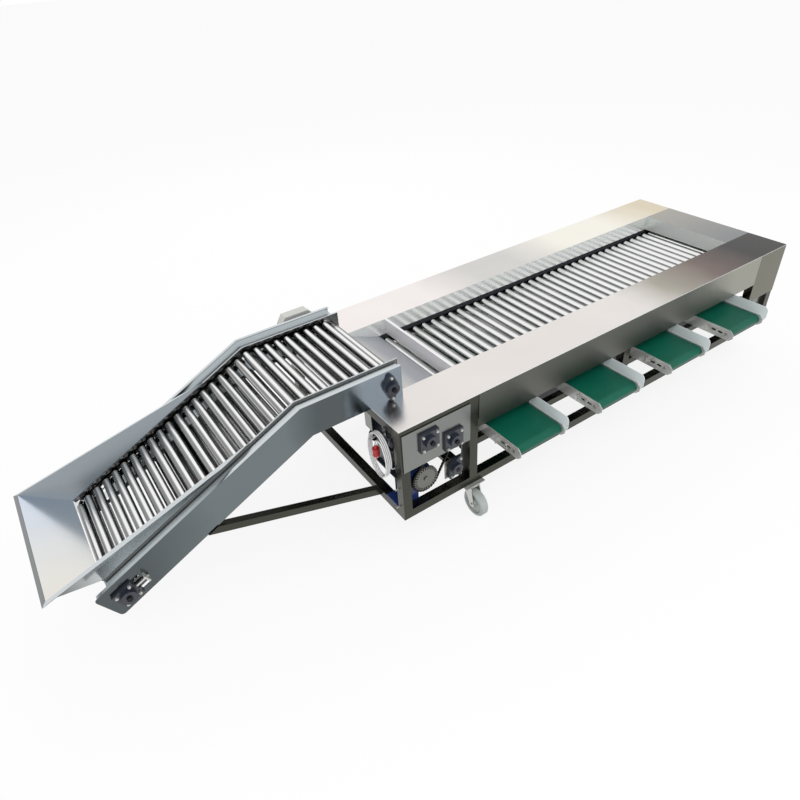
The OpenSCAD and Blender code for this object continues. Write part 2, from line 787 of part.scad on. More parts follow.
// Elevator body
// One side plate with rounded tail corners, a folded top edge and ledges under the chains
module elevator_side(top) {
    slot_l = 70;
    corner_r = 14;
    corner_step = 22.5;
    bolt_row = small_flange / 2 - bolt_in;
    function tail_corner(a, off) = on_incline(plate_end - corner_r * (1 - cos(a)), off + corner_r * sin(a));
    difference() {
        across([elev_in, elev_skin]) polygon([
            [elev_out_x, bend.y + elev_bottom], [elev_out_x, bend.y + top], at_bend(top),
            for (a = [90:-corner_step:0]) tail_corner(a, top - corner_r),
            for (a = [0:-corner_step:-90]) tail_corner(a, elev_bottom + corner_r),
            at_bend(elev_bottom)]);
        bar_y([elev_head_x, elev_head_z], [elev_in - 1, elev_skin + 1], shaft_d / 2 + 3);
        translate([tail.x, elev_in - 1, tail.y]) rotate([0, -incline_deg, 0]) {
            block([-shaft_d / 2 - 3, slot_l], [0, sheet + 2], [-shaft_d / 2 - 3, shaft_d / 2 + 3]);
            for (z = [-bolt_row, bolt_row]) {
                block([small_flange / 2 + 2, slot_l], [0, sheet + 2], [z - bolt_r, z + bolt_r]);
            }
        }
    }
    across([elev_skin - elev_flange, elev_skin - small])
        polygon(elev_strip(top - sheet, top, elev_out_x, plate_end - corner_r));
    for (off = [elev_r, -elev_r]) {
        hi = off - chain_h / 2 - air;
        across([elev_pin_end, elev_in + small])
            polygon(elev_strip(hi - sheet, hi, elev_head_x - 64, tail_l - 64));
    }
}

module elevator_sides() {
    place() color(steel) {
        elevator_side(elev_top + far_rise);
        mirror([0, 1, 0]) elevator_side(elev_top);
    }
}

// Guards beside the rollers: a plate that is deeper at the head, a folded edge and a chain cover
module elevator_guards() {
    head_x = elev_out_x + 18;
    head_low = elev_head_z - 3;
    end_s = tail_l + 25;
    cover = guard_low + 3;
    place() color(mirror_steel) both_sides() {
        across([guard_y, guard_y + sheet]) polygon([
            [elev_out_x, head_low], [head_x, head_low], [head_x, bend.y + elev_top], at_bend(elev_top),
            on_incline(end_s, elev_top), on_incline(end_s, guard_low), at_bend(guard_low),
            [elev_out_x, bend.y + guard_low]]);
        across([guard_y + small, guard_y + guard_w])
            polygon(elev_strip(elev_top - sheet, elev_top, head_x, end_s));
        across([guard_y + small, elev_in]) polygon(elev_strip(cover, cover + sheet, elev_out_x, end_s));
    }
}

module elevator_ties() {
    tie = 25;
    place() color(dark_steel) {
        for (back = [0.43, 0.86] * elev_flat_l) {
            tube_across(elev_head_x - back, [-elev_in, elev_in], elev_head_z, tie);
        }
        for (s = [0.15, 0.46, 0.78] * tail_l) {
            c = on_incline(s, 0);
            translate([c.x, 0, c.y]) rotate([0, -incline_deg, 0])
                tube_across(0, [-elev_in, elev_in], 0, tie);
        }
    }
}

// Flared hopper of three sheets with folded lips
hop_seat = 0.3 * sheet;
hop_foot = on_incline(tail_l + 25, elev_top + hop_seat);
hop_merge = on_incline(tail_l - side_sheet_l, elev_top + hop_seat);
hop_y = guard_y + guard_w / 2;
function rim(y, x) = [-x, y, -rim_drop];
module hopper() {
    lip_drop = 4;
    lip_end = 0.85;
    lip_run = front_lip - sheet / 4;
    share = lip_run / (hop_merge.x + rim_x);
    spread = rim_w / 2 - hop_y;
    front_drop = share * (hop_merge.y + rim_drop) + lip_drop * (1 - share * spread / side_lip);
    function mitre(side) = [-rim_x - lip_run, side * (rim_w / 2 + side_lip), -rim_drop - front_drop];
    place() color(mirror_steel) union() {
        plane_sheet([[hop_foot.x, -hop_y, hop_foot.y], [hop_foot.x, hop_y, hop_foot.y],
                     rim(rim_w / 2, rim_x), rim(-rim_w / 2, rim_x)], sheet);
        plane_sheet([rim(-rim_w / 2, rim_x), rim(rim_w / 2, rim_x), mitre(1), mitre(-1)], sheet);
        for (side = [-1, 1]) {
            foot = [hop_foot.x, side * hop_y, hop_foot.y];
            merge = [hop_merge.x, side * hop_y, hop_merge.y];
            corner = rim(side * rim_w / 2, rim_x);
            lip = side * [0, side_lip, 0] - [0, 0, lip_drop];
            outer = [[foot, corner, merge],
                     [corner, mitre(side), corner + lip_end * (merge - corner) + lip, merge]];
            for (pts = outer) {
                back = [for (i = [len(pts) - 1:-1:0]) pts[i]];
                plane_sheet(side > 0 ? back : pts, sheet);
            }
        }
    }
}

// Struts from the front lower rail to the underside of the elevator
module struts() {
    foot = [0, lower_z + 6];
    head = on_incline(strut_at, elev_bottom);
    dir = (head - foot) / norm(head - foot);
    side = [-dir.y, dir.x];
    function on_line(off, past) = let (
        p = foot + off * side,
        q = on_incline(0, elev_bottom - past),
        k = ((q - p) * up) / (dir * up)) p + k * dir;
    function at_rail(off, past) = let (p = foot + off * side) p + (past - p.x) / dir.x * dir;
    module outline(h, past) {
        polygon([at_rail(-h, past), on_line(-h, -past), on_line(h, -past), at_rail(h, past)]);
    }
    mid = elev_skin - 10;
    place() color(dark_steel) both_sides() difference() {
        across([mid - strut / 2, mid + strut / 2]) outline(strut / 2, 0);
        across([mid - strut / 2 + tube_wall, mid + strut / 2 - tube_wall])
            outline(strut / 2 - tube_wall, 40);
    }
}

module drive_guard() {
    x = [elev_head_x - 162, elev_out_x + 12];
    y = [elev_face + flange_t + 2, head_drive_y + 20];
    top = elev_h + 21;
    function outline(low, t) = [
        [x[0] + t, low], [x[0] + t, top - 37], [x[0] + 24 + t, top - t],
        [elev_head_x - 32 - t / 2, top - t], [x[1] - t, top - 104], [x[1] - t, low]];
    place() color(steel) difference() {
        across(y) polygon(outline(0, 0));
        across([y[0] + sheet, y[1] - sheet]) polygon(outline(-1, sheet));
        block([x[0] + sheet, x[1] - sheet], [y[0] - 1, y[0] + sheet + 1], [-1, elev_h]);
    }
}

// Discharge conveyors
module plate_outline() {
    nose = 18;
    polygon([[plate_back, plate_low], [plate_back, plate_top], [plate_front + nose, plate_top],
             [plate_front, plate_top - nose], [plate_front, plate_low + nose],
             [plate_front + nose, plate_low]]);
}

module belt_side_plates() {
    slot = [nose_y + 22, nose_y + 72];
    slot_r = 5;
    place() color(steel) for (x = belt_xs) for (side = [-1, 1]) {
        inside = x + side * (belt_w / 2 + plate_gap);
        span = [min(inside, inside + side * side_plate), max(inside, inside + side * side_plate)];
        difference() {
            along(span) plate_outline();
            bar_x(nose_y, belt_axis_z, [span[0] - 1, span[1] + 1], axle_r + run_clear);
            bar_x(line_shaft_y, belt_axis_z, [span[0] - 1, span[1] + 1], shaft_d / 2 + run_clear);
            for (y = slot) bar_x(y, belt_axis_z, [span[0] - 1, span[1] + 1], slot_r);
            block([span[0] - 1, span[1] + 1], slot, [belt_axis_z - slot_r, belt_axis_z + slot_r]);
        }
    }
}

module belt_guides() {
    round_r = 22;
    top = -belt_drop + guide_h;
    place() color(mirror_steel) for (x = belt_xs) {
        face = x + belt_w / 2 + plate_gap + side_plate;
        along([face, face + sheet]) difference() {
            polygon([[-inner_y, plate_low + 6], [-inner_y, top], [-guide_reach, top],
                     [-guide_reach, -belt_drop], [plate_front + 10, plate_low + 6]]);
            translate([nose_y, belt_axis_z]) circle(r = axle_r + 4);
            translate([-guide_reach, top]) difference() {
                translate([-1, -round_r]) square(round_r + 1);
                translate([round_r, -round_r]) circle(r = round_r);
            }
        }
    }
}

module belt_loop(r) {
    translate([nose_y, belt_axis_z]) circle(r = r);
    translate([line_shaft_y, belt_axis_z]) circle(r = r);
    translate([nose_y, belt_axis_z - r]) square([line_shaft_y - nose_y, 2 * r]);
}

module conveyor_belts() {
    inner = belt_r + air;
    place() color(belt_green) for (x = belt_xs) along([x - belt_w / 2, x + belt_w / 2]) difference() {
        belt_loop(inner + belt_t);
        belt_loop(inner);
    }
}

module slider_beds() {
    top = -belt_drop - belt_t;
    place() color(steel) for (x = belt_xs) {
        block([x - belt_w / 2 - plate_gap, x + belt_w / 2 + plate_gap],
              [nose_y + belt_r + 8, line_shaft_y - belt_r - 8], [top - 4, top]);
    }
}

module belt_line_shaft() {
    x0 = belt_xs[0] - belt_w / 2 - plate_gap - side_plate - shaft_over;
    place() color(chain_steel) {
        bar_x(line_shaft_y, belt_axis_z, [x0, belt_motor_x + 28], shaft_d / 2);
        for (x = belt_xs) {
            bar_x(line_shaft_y, belt_axis_z, [x - belt_w / 2 + 1, x + belt_w / 2 - 1], belt_r);
        }
    }
}

module nose_rollers() {
    over = plate_gap + side_plate + 3;
    place() color(roller_steel) for (x = belt_xs) {
        bar_x(nose_y, belt_axis_z, [x - belt_w / 2 + 1, x + belt_w / 2 - 1], belt_r);
        bar_x(nose_y, belt_axis_z, [x - belt_w / 2 - over, x + belt_w / 2 + over], axle_r);
    }
}

// Casters: a bolted plate, a swivelling fork with its axle and a wheel
module caster_plates() {
    place() color(steel) both_sides() for (c = caster_at) difference() {
        block([c.x - caster_plate.x / 2, c.x + caster_plate.x / 2],
              [c.y - caster_plate.y / 2, c.y + caster_plate.y / 2],
              [-body_h - caster_plate.z, -body_h]);
        translate([c.x, c.y, -body_h - caster_plate.z - 1])
            cylinder(r = king_r + run_clear, h = caster_plate.z + 2);
    }
}

module caster_fork(x, y) {
    crown_top = -body_h - caster_plate.z - 0.5;
    crown_t = 8;
    half = wheel_w / 2 + fork_gap;
    place() color(steel) translate([x, y, 0]) {
        translate([0, 0, crown_top - 1]) cylinder(r = king_r, h = caster_plate.z + 0.5);
        translate([0, 0, crown_top - crown_t]) cylinder(r = 34, h = crown_t);
        block([-half - fork_t, half + fork_t], [-34, 20],
              [crown_top - crown_t - fork_t, crown_top - crown_t + small]);
        for (side = [-1, 1]) {
            outer = side * (half + fork_t / 2);
            along([outer - fork_t / 2, outer + fork_t / 2]) {
                polygon([[20, crown_top - crown_t], [-34, crown_top - crown_t],
                         [-trail - 15, wheel_z], [-trail + 15, wheel_z]]);
                translate([-trail, wheel_z]) circle(r = 15);
            }
        }
        bar_x(-trail, wheel_z, [-half - fork_t - 5, half + fork_t + 5], wheel_axle_r);
    }
}

module caster_wheel(x, y) {
    r = wheel_d / 2;
    hub = 18;
    rim_in = r - 14;
    half = wheel_w / 2;
    edge = 5;
    place() color("#c9d0cd") translate([x, y - trail, wheel_z]) rotate([0, 90, 0]) rotate_extrude($fn = 64)
        polygon([[wheel_axle_r + run_clear, -half - 2], [hub, -half - 2], [hub, -half + 8],
                 [rim_in, -half + 8], [rim_in, -half],
                 [r - edge, -half], [r, -half + edge], [r, half - edge],
                 [r - edge, half], [rim_in, half], [rim_in, half - 8], [hub, half - 8],
                 [hub, half + 2], [wheel_axle_r + run_clear, half + 2]]);
}

// Bolts of the bearing units, belt tension screws and elevator take-up screws
module hex_bolt(r, h) {
    rotate([-90, 0, 0]) {
        cylinder(r = r, h = h, $fn = 6);
        translate([0, 0, h - small]) cylinder(r = r / 2, h = 3);
    }
}

module fasteners() {
    take_up = 80;
    place() color("#c8c8c4") {
        at_bearings() for (i = [-1, 1]) for (j = [-1, 1]) {
            translate([i, 0, j] * (flange / 2 - bolt_in) + [0, flange_t, 0]) hex_bolt(bolt_r, bolt_h);
        }
        at_tail_bearings() {
            for (i = [-1, 1]) for (j = [-1, 1]) {
                translate([i, 0, j] * (small_flange / 2 - bolt_in) + [0, flange_t, 0])
                    hex_bolt(bolt_r, bolt_h);
            }
            block([take_up, take_up + 6], [0, 22], [-12, 20]);
            bar_x(flange_t / 2, 0, [small_flange / 2, take_up + 10], 4);
        }
        at_oblong_bearings() for (j = [-1, 1]) {
            translate([0, flange_t, j * oblong_bolt]) hex_bolt(bolt_r, bolt_h);
        }
        for (x = belt_xs) {
            face = x - belt_w / 2 - plate_gap - side_plate;
            block([face - 16, face], [nose_y + 90, nose_y + 96], [belt_axis_z - 14, belt_axis_z + 14]);
            bar_x(nose_y + 46, belt_axis_z, [face - 7, face], 8);
            translate([face - 12, nose_y + 90.5, belt_axis_z]) rotate([90, 0, 0]) cylinder(r = 3, h = 60);
        }
        for (rise = [55, 150]) bar_x(-inner_y - 7, -body_h + rise, [-12, 0], 3.5);
    }
}

// Chains of the drives: link centres round two wheels, the second one out along X
function chain_pts(ra, rb, reach) = let (
    lean = acos((ra - rb) / reach),
    n_strand = round(sqrt(pow(reach, 2) - pow(ra - rb, 2)) / link_pitch),
    n_a = round((360 - 2 * lean) / 360 * 2 * PI * ra / link_pitch),
    n_b = round(2 * lean / 360 * 2 * PI * rb / link_pitch),
    high = [cos(lean), sin(lean)],
    low = [cos(lean), -sin(lean)],
    far = [reach, 0])
    [for (i = [0:n_a - 1]) let (a = lean + i * (360 - 2 * lean) / n_a) ra * [cos(a), sin(a)],
     for (i = [0:n_strand - 1]) ra * low + i / n_strand * (far + (rb - ra) * low),
     for (i = [0:n_b - 1]) let (a = -lean + i * 2 * lean / n_b) far + rb * [cos(a), sin(a)],
     for (i = [0:n_strand - 1]) far + rb * high - i / n_strand * (far + (rb - ra) * high)];

module drive_chain(a, ra, b, rb, y) {
    pts = chain_pts(ra + air + link_r, rb + air + link_r, norm(b - a));
    across(y) translate(a) rotate(atan2(b.y - a.y, b.x - a.x)) for (i = [0:len(pts) - 1]) {
        from = pts[i];
        to = pts[(i + 1) % len(pts)];
        wide = bar_r / norm(to - from) * [from.y - to.y, to.x - from.x];
        translate(from) circle(r = link_r);
        polygon([from + wide, to + wide, to - wide, from - wide]);
    }
}

module drive_chains() {
    place() color(chain_steel) {
        drive_chain(gear, gear_r, bed_c[0], drive_r, [gear_y[0] + 1, gear_y[1] - 1]);
        drive_chain(elev_gear, drive_r, counter, drive_r, [elev_drive_y - link_r, elev_drive_y + link_r]);
        drive_chain(counter, drive_r, [elev_head_x, elev_head_z], drive_r,
                    [head_drive_y - link_r, head_drive_y + link_r]);
    }
}

// Cable: hung coil, lead to the motor and a plug hanging inside the coil
function coil_pt(a) = [
    coil_x - a / 360 * coil_step, coil_c.x - coil_w / 2 * cos(a), coil_c.y + coil_h / 2 * sin(a)];
coil_rings = 24;
coil_pts = [
    for (i = [0:coil_loops * coil_rings + coil_rings / 8]) coil_pt(i * 360 / coil_rings), each tail_pts];
coil_gap = min([for (i = [0:len(coil_pts) - 1]) for (j = [i + coil_rings - 3:len(coil_pts) - 1])
    norm(coil_pts[i] - coil_pts[j])]) - cable_d;
echo(coil_gap = coil_gap);

module cable_coil() {
    place() color(white) swept_tube(coil_pts, cable_d / 2, 6);
}

module cable_lead() {
    place() color(white) swept_tube(lead_pts, cable_d / 2, 8);
}

module cable_plug() {
    relief = 16;
    body = 34;
    body_r = 14;
    pin = 16;
    place() color("#a8282c") translate(plug_at - [0, 0, relief + body]) {
        cylinder(r = body_r, h = body);
        translate([0, 0, body]) cylinder(r1 = 8, r2 = 4.5, h = relief);
        for (a = [0, 120, 240]) rotate([0, 0, a]) translate([8, 0, -pin]) cylinder(r = 2.5, h = pin + 1);
    }
}

// Moving rows of rollers
module bed_top_run() {
    place() color(roller_steel) bed_run(0, 0, bed_tail_u);
}

module bed_rear_run() {
    place() color(roller_steel) bed_run(1, bed_rear_u, bed_low_rear_u);
}

module bed_return_run() {
    place() color(roller_steel) bed_run(2, bed_return_u, bed_low_front_u);
}

module bed_front_run() {
    place() color(roller_steel) bed_run(3, bed_front_u, bed_head_u);
}

module bed_head_shaft() {
    place() {
        bed_shaft(0, bed_head_u, bed_n, [-far_reach, far_reach]);
        color(chain_steel) bar_y(bed_c[0], gear_y, drive_r);
    }
}

module bed_tail_shaft() {
    reach = rear_plate_y + shaft_over;
    place() bed_shaft(1, bed_tail_u, bed_rear_u, [-reach, reach]);
}

module bed_rear_shaft() {
    reach = rear_plate_y + shaft_over;
    place() bed_shaft(2, bed_low_rear_u, bed_return_u, [-reach, reach]);
}

module bed_drive_shaft() {
    reach = bracket_y + bearing_t + 2;
    place() bed_shaft(3, bed_low_front_u, bed_front_u, [-reach, reach]);
}

module elevator_flat_run() {
    place() color(roller_steel) elev_run(at_bend(elev_r), 0, 0, elev_head_u);
}

module elevator_incline_run() {
    place() color(roller_steel) elev_run(on_incline(tail_l, elev_r), incline_deg, elev_up_u, elev_n);
}

module elevator_flat_return() {
    start = [elev_head_x, elev_head_z - elev_r];
    place() color(roller_steel) elev_run(start, 180, elev_low_u, elev_low_bend_u);
}

module elevator_incline_return() {
    place() color(roller_steel) elev_run(at_bend(-elev_r), incline_deg + 180, elev_low_bend_u, elev_tail_u);
}

module elevator_head_shaft() {
    centre = [elev_head_x, elev_head_z];
    place() {
        elev_shaft(centre, 90, elev_head_u, elev_low_u,
                   [-elev_face - bearing_t - shaft_over, head_drive_y + 12]);
        color(chain_steel) bar_y(centre, [head_drive_y - drive_t / 2, head_drive_y + drive_t / 2], drive_r);
    }
}

module elevator_tail_shaft() {
    reach = elev_face + bearing_t + shaft_over;
    place() elev_shaft(tail, incline_deg - 90, elev_tail_u, elev_up_u, [-reach, reach]);
}

module countershaft() {
    place() color(chain_steel) {
        bar_y(counter, [-far_reach, far_reach], shaft_d / 2);
        for (y = [elev_drive_y, head_drive_y]) bar_y(counter, [y - drive_t / 2, y + drive_t / 2], drive_r);
    }
}

module gearbox_sprocket() {
    teeth = 28;
    notch_w = 5;
    notch_from = gear_r - 12;
    place() color(chain_steel) {
        bar_y(gear, [gear_y[0] - 4, bed_box_y[0] + 28], shaft_d / 2);
        difference() {
            bar_y(gear, gear_y, gear_r);
            translate([gear.x, gear_y[0] - 1, gear.y]) for (i = [0:teeth - 1]) {
                rotate([0, i * 360 / teeth, 0])
                    block([notch_from, gear_r + 1], [0, 6], [-notch_w / 2, notch_w / 2]);
            }
        }
    }
}

module elevator_sprocket() {
    place() color(chain_steel) {
        bar_y(elev_gear, [motor_y[0] + 66, elev_drive_y + drive_t / 2], shaft_d / 2);
        bar_y(elev_gear, [elev_drive_y - drive_t / 2, elev_drive_y + drive_t / 2], drive_r);
    }
}

posts();
long_rails();
cross_rails();
near_cover();
far_cover();
end_cover();
feed_plate();
leveller_plate();
side_skirts();
end_panels();
drive_plates();
chain_rails();
bearing_units();
bed_motor();
bed_gearbox();
elevator_motor();
belt_motor();
elevator_sides();
elevator_guards();
elevator_ties();
hopper();
struts();
drive_guard();
belt_side_plates();
belt_guides();
conveyor_belts();
slider_beds();
caster_plates();
fasteners();
cable_coil();
cable_lead();
cable_plug();
drive_chains();
bed_top_run();
bed_rear_run();
bed_return_run();
bed_front_run();
bed_head_shaft();
bed_tail_shaft();
bed_rear_shaft();
bed_drive_shaft();
elevator_flat_run();
elevator_incline_run();
elevator_flat_return();
elevator_incline_return();
elevator_head_shaft();
elevator_tail_shaft();
countershaft();
gearbox_sprocket();
elevator_sprocket();
belt_line_shaft();
nose_rollers();
caster_fork(caster_at[0].x, -caster_at[0].y);  // caster_fork_1
caster_fork(caster_at[1].x, -caster_at[1].y);  // caster_fork_2
caster_fork(caster_at[0].x, caster_at[0].y);  // caster_fork_3
caster_fork(caster_at[1].x, caster_at[1].y);  // caster_fork_4
caster_wheel(caster_at[0].x, -caster_at[0].y);  // caster_wheel_1
caster_wheel(caster_at[1].x, -caster_at[1].y);  // caster_wheel_2
caster_wheel(caster_at[0].x, caster_at[0].y);  // caster_wheel_3
caster_wheel(caster_at[1].x, caster_at[1].y);  // caster_wheel_4
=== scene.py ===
"""Finishes and stage for a roller fruit grading machine with a feed elevator."""
import math

import bpy
from mathutils import Matrix, Vector


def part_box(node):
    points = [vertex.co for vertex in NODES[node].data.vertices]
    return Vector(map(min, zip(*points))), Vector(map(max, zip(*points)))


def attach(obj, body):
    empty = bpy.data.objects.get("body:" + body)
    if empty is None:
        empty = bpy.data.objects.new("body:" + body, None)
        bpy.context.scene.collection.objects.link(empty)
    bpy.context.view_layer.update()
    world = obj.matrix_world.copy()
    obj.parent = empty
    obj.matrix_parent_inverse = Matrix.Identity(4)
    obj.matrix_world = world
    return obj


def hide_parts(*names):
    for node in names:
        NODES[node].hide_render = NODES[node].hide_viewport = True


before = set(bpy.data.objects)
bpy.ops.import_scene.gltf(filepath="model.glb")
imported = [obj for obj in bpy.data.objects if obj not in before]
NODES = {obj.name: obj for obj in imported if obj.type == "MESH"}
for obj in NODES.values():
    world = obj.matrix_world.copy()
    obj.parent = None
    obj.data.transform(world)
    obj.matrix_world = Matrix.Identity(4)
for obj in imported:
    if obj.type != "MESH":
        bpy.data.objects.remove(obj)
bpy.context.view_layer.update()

bl_info = {
    "name": "Fruit grading machine",
    "version": (1, 0, 0),
    "blender": (4, 5, 0),
    "location": "3D View > Sidebar > Grader",
    "description": "Dresses the grading machine's solids and sets up its stage",
    "category": "Object",
}

BODY = "frame"


class GraderColours(bpy.types.PropertyGroup):
    """Colours of the finishes; many sheet and roller tones are painted reflection, painted highlight and
    painted shade.
    """

    def tint(name, description, default):
        return bpy.props.FloatVectorProperty(
            name=name, description=description, subtype="COLOR", size=3, min=0.0, max=1.0, default=default)

    # Near cover tones are painted reflection and painted shade: bright at the front, dark at the rear
    cover_front_reflection: tint("Cover front", "Bright cover sheet near the elevator", (0.84, 0.80, 0.77))
    cover_painted_shade: tint("Cover shade", "Near cover past its middle", (0.42, 0.40, 0.34))
    cover_warm_reflection: tint("Cover warm shade", "Warm dark part of the near cover", (0.19, 0.140, 0.125))
    cover_rear_reflection: tint("Cover rear", "Cover sheet at the rear of the near side", (0.034, 0.031, 0.030))
    # Far cover tones are painted reflection bands along its length
    far_front_reflection: tint("Far cover front", "Far cover near the elevator", (0.96, 0.90, 0.88))
    far_middle_reflection: tint("Far cover middle", "Far cover half way along", (0.70, 0.68, 0.66))
    far_bright_reflection: tint("Far cover bright", "Brightest part of the far cover", (0.97, 0.94, 0.85))
    far_rear_reflection: tint("Far cover rear", "Cover sheet at the rear of the far side", (0.74, 0.65, 0.48))
    bed_wall: tint("Bed walls", "Upright walls round the roller bed", (0.86, 0.89, 0.87))
    # End cover tones are painted reflection, darker on the near side
    end_near_reflection: tint("End cover near", "Near part of the cover past the bed", (0.24, 0.25, 0.265))
    end_far_reflection: tint("End cover far", "Far part of the cover past the bed", (0.40, 0.385, 0.335))
    # Skirt tones are painted reflection, lighter toward the rear
    skirt_dark_reflection: tint("Skirt dark", "Darker part of the skirt sheet", (0.140, 0.143, 0.128))
    skirt_light_reflection: tint("Skirt light", "Lighter part of the skirt sheet", (0.36, 0.36, 0.31))
    rear_panel: tint("Rear panels", "Side and end panels at the rear", (0.175, 0.170, 0.130))
    tube: tint("Frame tube", "Brushed square tube", (0.075, 0.075, 0.062))
    plate: tint("Plate", "Plain stainless plate", (0.42, 0.42, 0.41))
    drive_plate: tint("Drive plate", "Plate that carries the drive bearings", (0.26, 0.27, 0.26))
    # Elevator side plate tones are painted shade and painted light, with a painted reflection at the head
    # end and on the inner faces
    elevator_painted_shade: tint("Elevator dark", "Elevator side plate in shade", (0.108, 0.124, 0.130))
    elevator_painted_light: tint("Elevator light", "Elevator side plate in light", (0.185, 0.215, 0.225))
    elevator_head: tint("Elevator head", "Bright head end of the elevator side plates", (0.32, 0.39, 0.46))
    elevator_inside_reflection: tint("Elevator inside", "Inner faces of the elevator side plates", (0.74, 0.77, 0.78))
    # Painted highlight: top faces of the elevator sides, guards and hopper lips get this lighter tone
    edge: tint("Folded edge", "Bright folded top edges", (0.62, 0.66, 0.68))
    # Painted shade on the guards' upright faces
    guard_wall_shade: tint("Guard walls", "Upright faces of the guards beside the rollers", (0.20, 0.205, 0.20))
    guide: tint("Belt guides", "Bright guides beside the belts", (0.80, 0.85, 0.87))
    belt_plate: tint("Belt side plates", "Plates that carry the belts", (0.52, 0.53, 0.51))
    # Hopper front sheet tones are painted reflection, cool on the far side and warm on the near side
    hopper_cool_reflection: tint("Hopper front far", "Far part of the hopper's front sheet", (0.68, 0.76, 0.88))
    hopper_warm_reflection: tint("Hopper front near", "Near part of the hopper's front sheet", (0.84, 0.81, 0.74))
    # Painted shade on the hopper's side sheets and forward lip, painted light on its outer faces
    hopper_side_shade: tint("Hopper sides", "Side sheets of the hopper", (0.31, 0.345, 0.37))
    hopper_under: tint("Hopper outside", "Outer faces of the hopper sheets", (0.72, 0.75, 0.76))
    hopper_lip_shade: tint("Hopper lip", "Folded front lip of the hopper", (0.25, 0.26, 0.265))
    leveller: tint("Leveller", "Levelling plate over the first rollers", (0.86, 0.84, 0.86))
    drive_guard: tint("Drive guard", "Guard over the elevator's head drive", (0.60, 0.60, 0.57))
    # Feed plate tones are painted reflection along its length
    feed_front_reflection: tint("Feed plate front", "Feed plate under the elevator's head", (0.62, 0.60, 0.55))
    feed_rear_reflection: tint("Feed plate rear", "Feed plate at the first rollers", (0.40, 0.415, 0.45))
    chrome: tint("Rollers", "Polished roller tube", (0.88, 0.88, 0.88))
    chain: tint("Chain", "Oiled chain and shaft steel", (0.03, 0.03, 0.03))
    zinc: tint("Zinc", "Plated bolts and screws", (0.68, 0.68, 0.65))
    cut_steel: tint("Cut steel", "Bare chain wheel", (0.24, 0.24, 0.225))
    navy: tint("Navy paint", "Paint of bearings and motors", (0.017, 0.023, 0.037))
    blue: tint("Blue paint", "Paint of the gearboxes", (0.010, 0.033, 0.155))
    belt: tint("Belt", "Green belt", (0.0015, 0.115, 0.070))
    rail: tint("Slide strip", "Dark slide strip", (0.040, 0.042, 0.050))
    cable: tint("Cable", "Pale cable sheath", (0.80, 0.80, 0.80))
    plug: tint("Plug", "Red plug", (0.45, 0.02, 0.02))
    wheel: tint("Wheel", "Pale caster wheel", (0.46, 0.50, 0.48))
    floor: tint("Floor", "Pale studio floor", (0.90, 0.90, 0.90))


class GraderSizes(bpy.types.PropertyGroup):
    """Sizes that belong to the scene: the cable's route and the camera."""

    cable_d: bpy.props.FloatProperty(
        name="Cable", description="Outside of the power cable", default=0.006, unit="LENGTH")
    coil_loops: bpy.props.IntProperty(
        name="Loops", description="Loops in the hung coil", default=3)
    coil_w: bpy.props.FloatProperty(
        name="Coil width", description="Width of the coil at mid cable", default=0.130, unit="LENGTH")
    coil_h: bpy.props.FloatProperty(
        name="Coil height", description="Height of the coil at mid cable", default=0.205, unit="LENGTH")
    lens: bpy.props.FloatProperty(
        name="Lens", description="Focal length on a 36 mm wide sensor", default=28.39, unit="CAMERA")
    camera_azimuth: bpy.props.FloatProperty(
        name="Azimuth", description="Side from which the camera looks", default=math.radians(-31.761),
        unit="ROTATION")
    camera_elevation: bpy.props.FloatProperty(
        name="Elevation", description="Height angle of the camera", default=math.radians(36.949),
        unit="ROTATION")
    camera_roll: bpy.props.FloatProperty(
        name="Roll", description="Tilt of the camera about its view", default=math.radians(-4.291),
        unit="ROTATION")


def colours():
    return bpy.context.scene.grader_colours


def sizes():
    return bpy.context.scene.grader_sizes


# Front edge of the covers on the machine's middle line, where the machine's own drawing starts
COVER_FRONT = Vector((-0.603, 0.072, 0.617))


def from_drawing(points_mm):
    """Points in millimetres from the covers' front edge, as places in the frame."""
    return [COVER_FRONT + Vector(p) / 1000.0 for p in points_mm]


# Shared surface effects

def new_group(name, inputs, outputs):
    group = bpy.data.node_groups.new(name, "ShaderNodeTree")
    for socket, kind, default in inputs:
        item = group.interface.new_socket(socket, in_out="INPUT", socket_type=kind)
        item.default_value = default
    for socket, kind in outputs:
        group.interface.new_socket(socket, in_out="OUTPUT", socket_type=kind)
    source = group.nodes.new("NodeGroupInput")
    sink = group.nodes.new("NodeGroupOutput")
    return group, source, sink


def sheet_grain_group():
    """Fine rolling grain and broad smudges of metal sheet."""
    name = "Sheet grain"
    if name in bpy.data.node_groups:
        return bpy.data.node_groups[name]
    group, source, sink = new_group(
        name,
        [("Stretch", "NodeSocketVector", (4.0, 120.0, 120.0)), ("Smudge Scale", "NodeSocketFloat", 3.0)],
        [("Grain", "NodeSocketFloat"), ("Smudge", "NodeSocketFloat")])
    nodes, links = group.nodes, group.links
    place = nodes.new("ShaderNodeTexCoord")
    scaled = nodes.new("ShaderNodeVectorMath")
    scaled.operation = "MULTIPLY"
    grain = nodes.new("ShaderNodeTexNoise")
    grain.inputs["Scale"].default_value = 6.0
    grain.inputs["Detail"].default_value = 3.0
    smudge = nodes.new("ShaderNodeTexNoise")
    smudge.inputs["Detail"].default_value = 4.0
    smudge.inputs["Roughness"].default_value = 0.55
    links.new(place.outputs["Object"], scaled.inputs[0])
    links.new(source.outputs["Stretch"], scaled.inputs[1])
    links.new(scaled.outputs[0], grain.inputs["Vector"])
    links.new(place.outputs["Object"], smudge.inputs["Vector"])
    links.new(source.outputs["Smudge Scale"], smudge.inputs["Scale"])
    links.new(grain.outputs["Fac"], sink.inputs["Grain"])
    links.new(smudge.outputs["Fac"], sink.inputs["Smudge"])
    return group


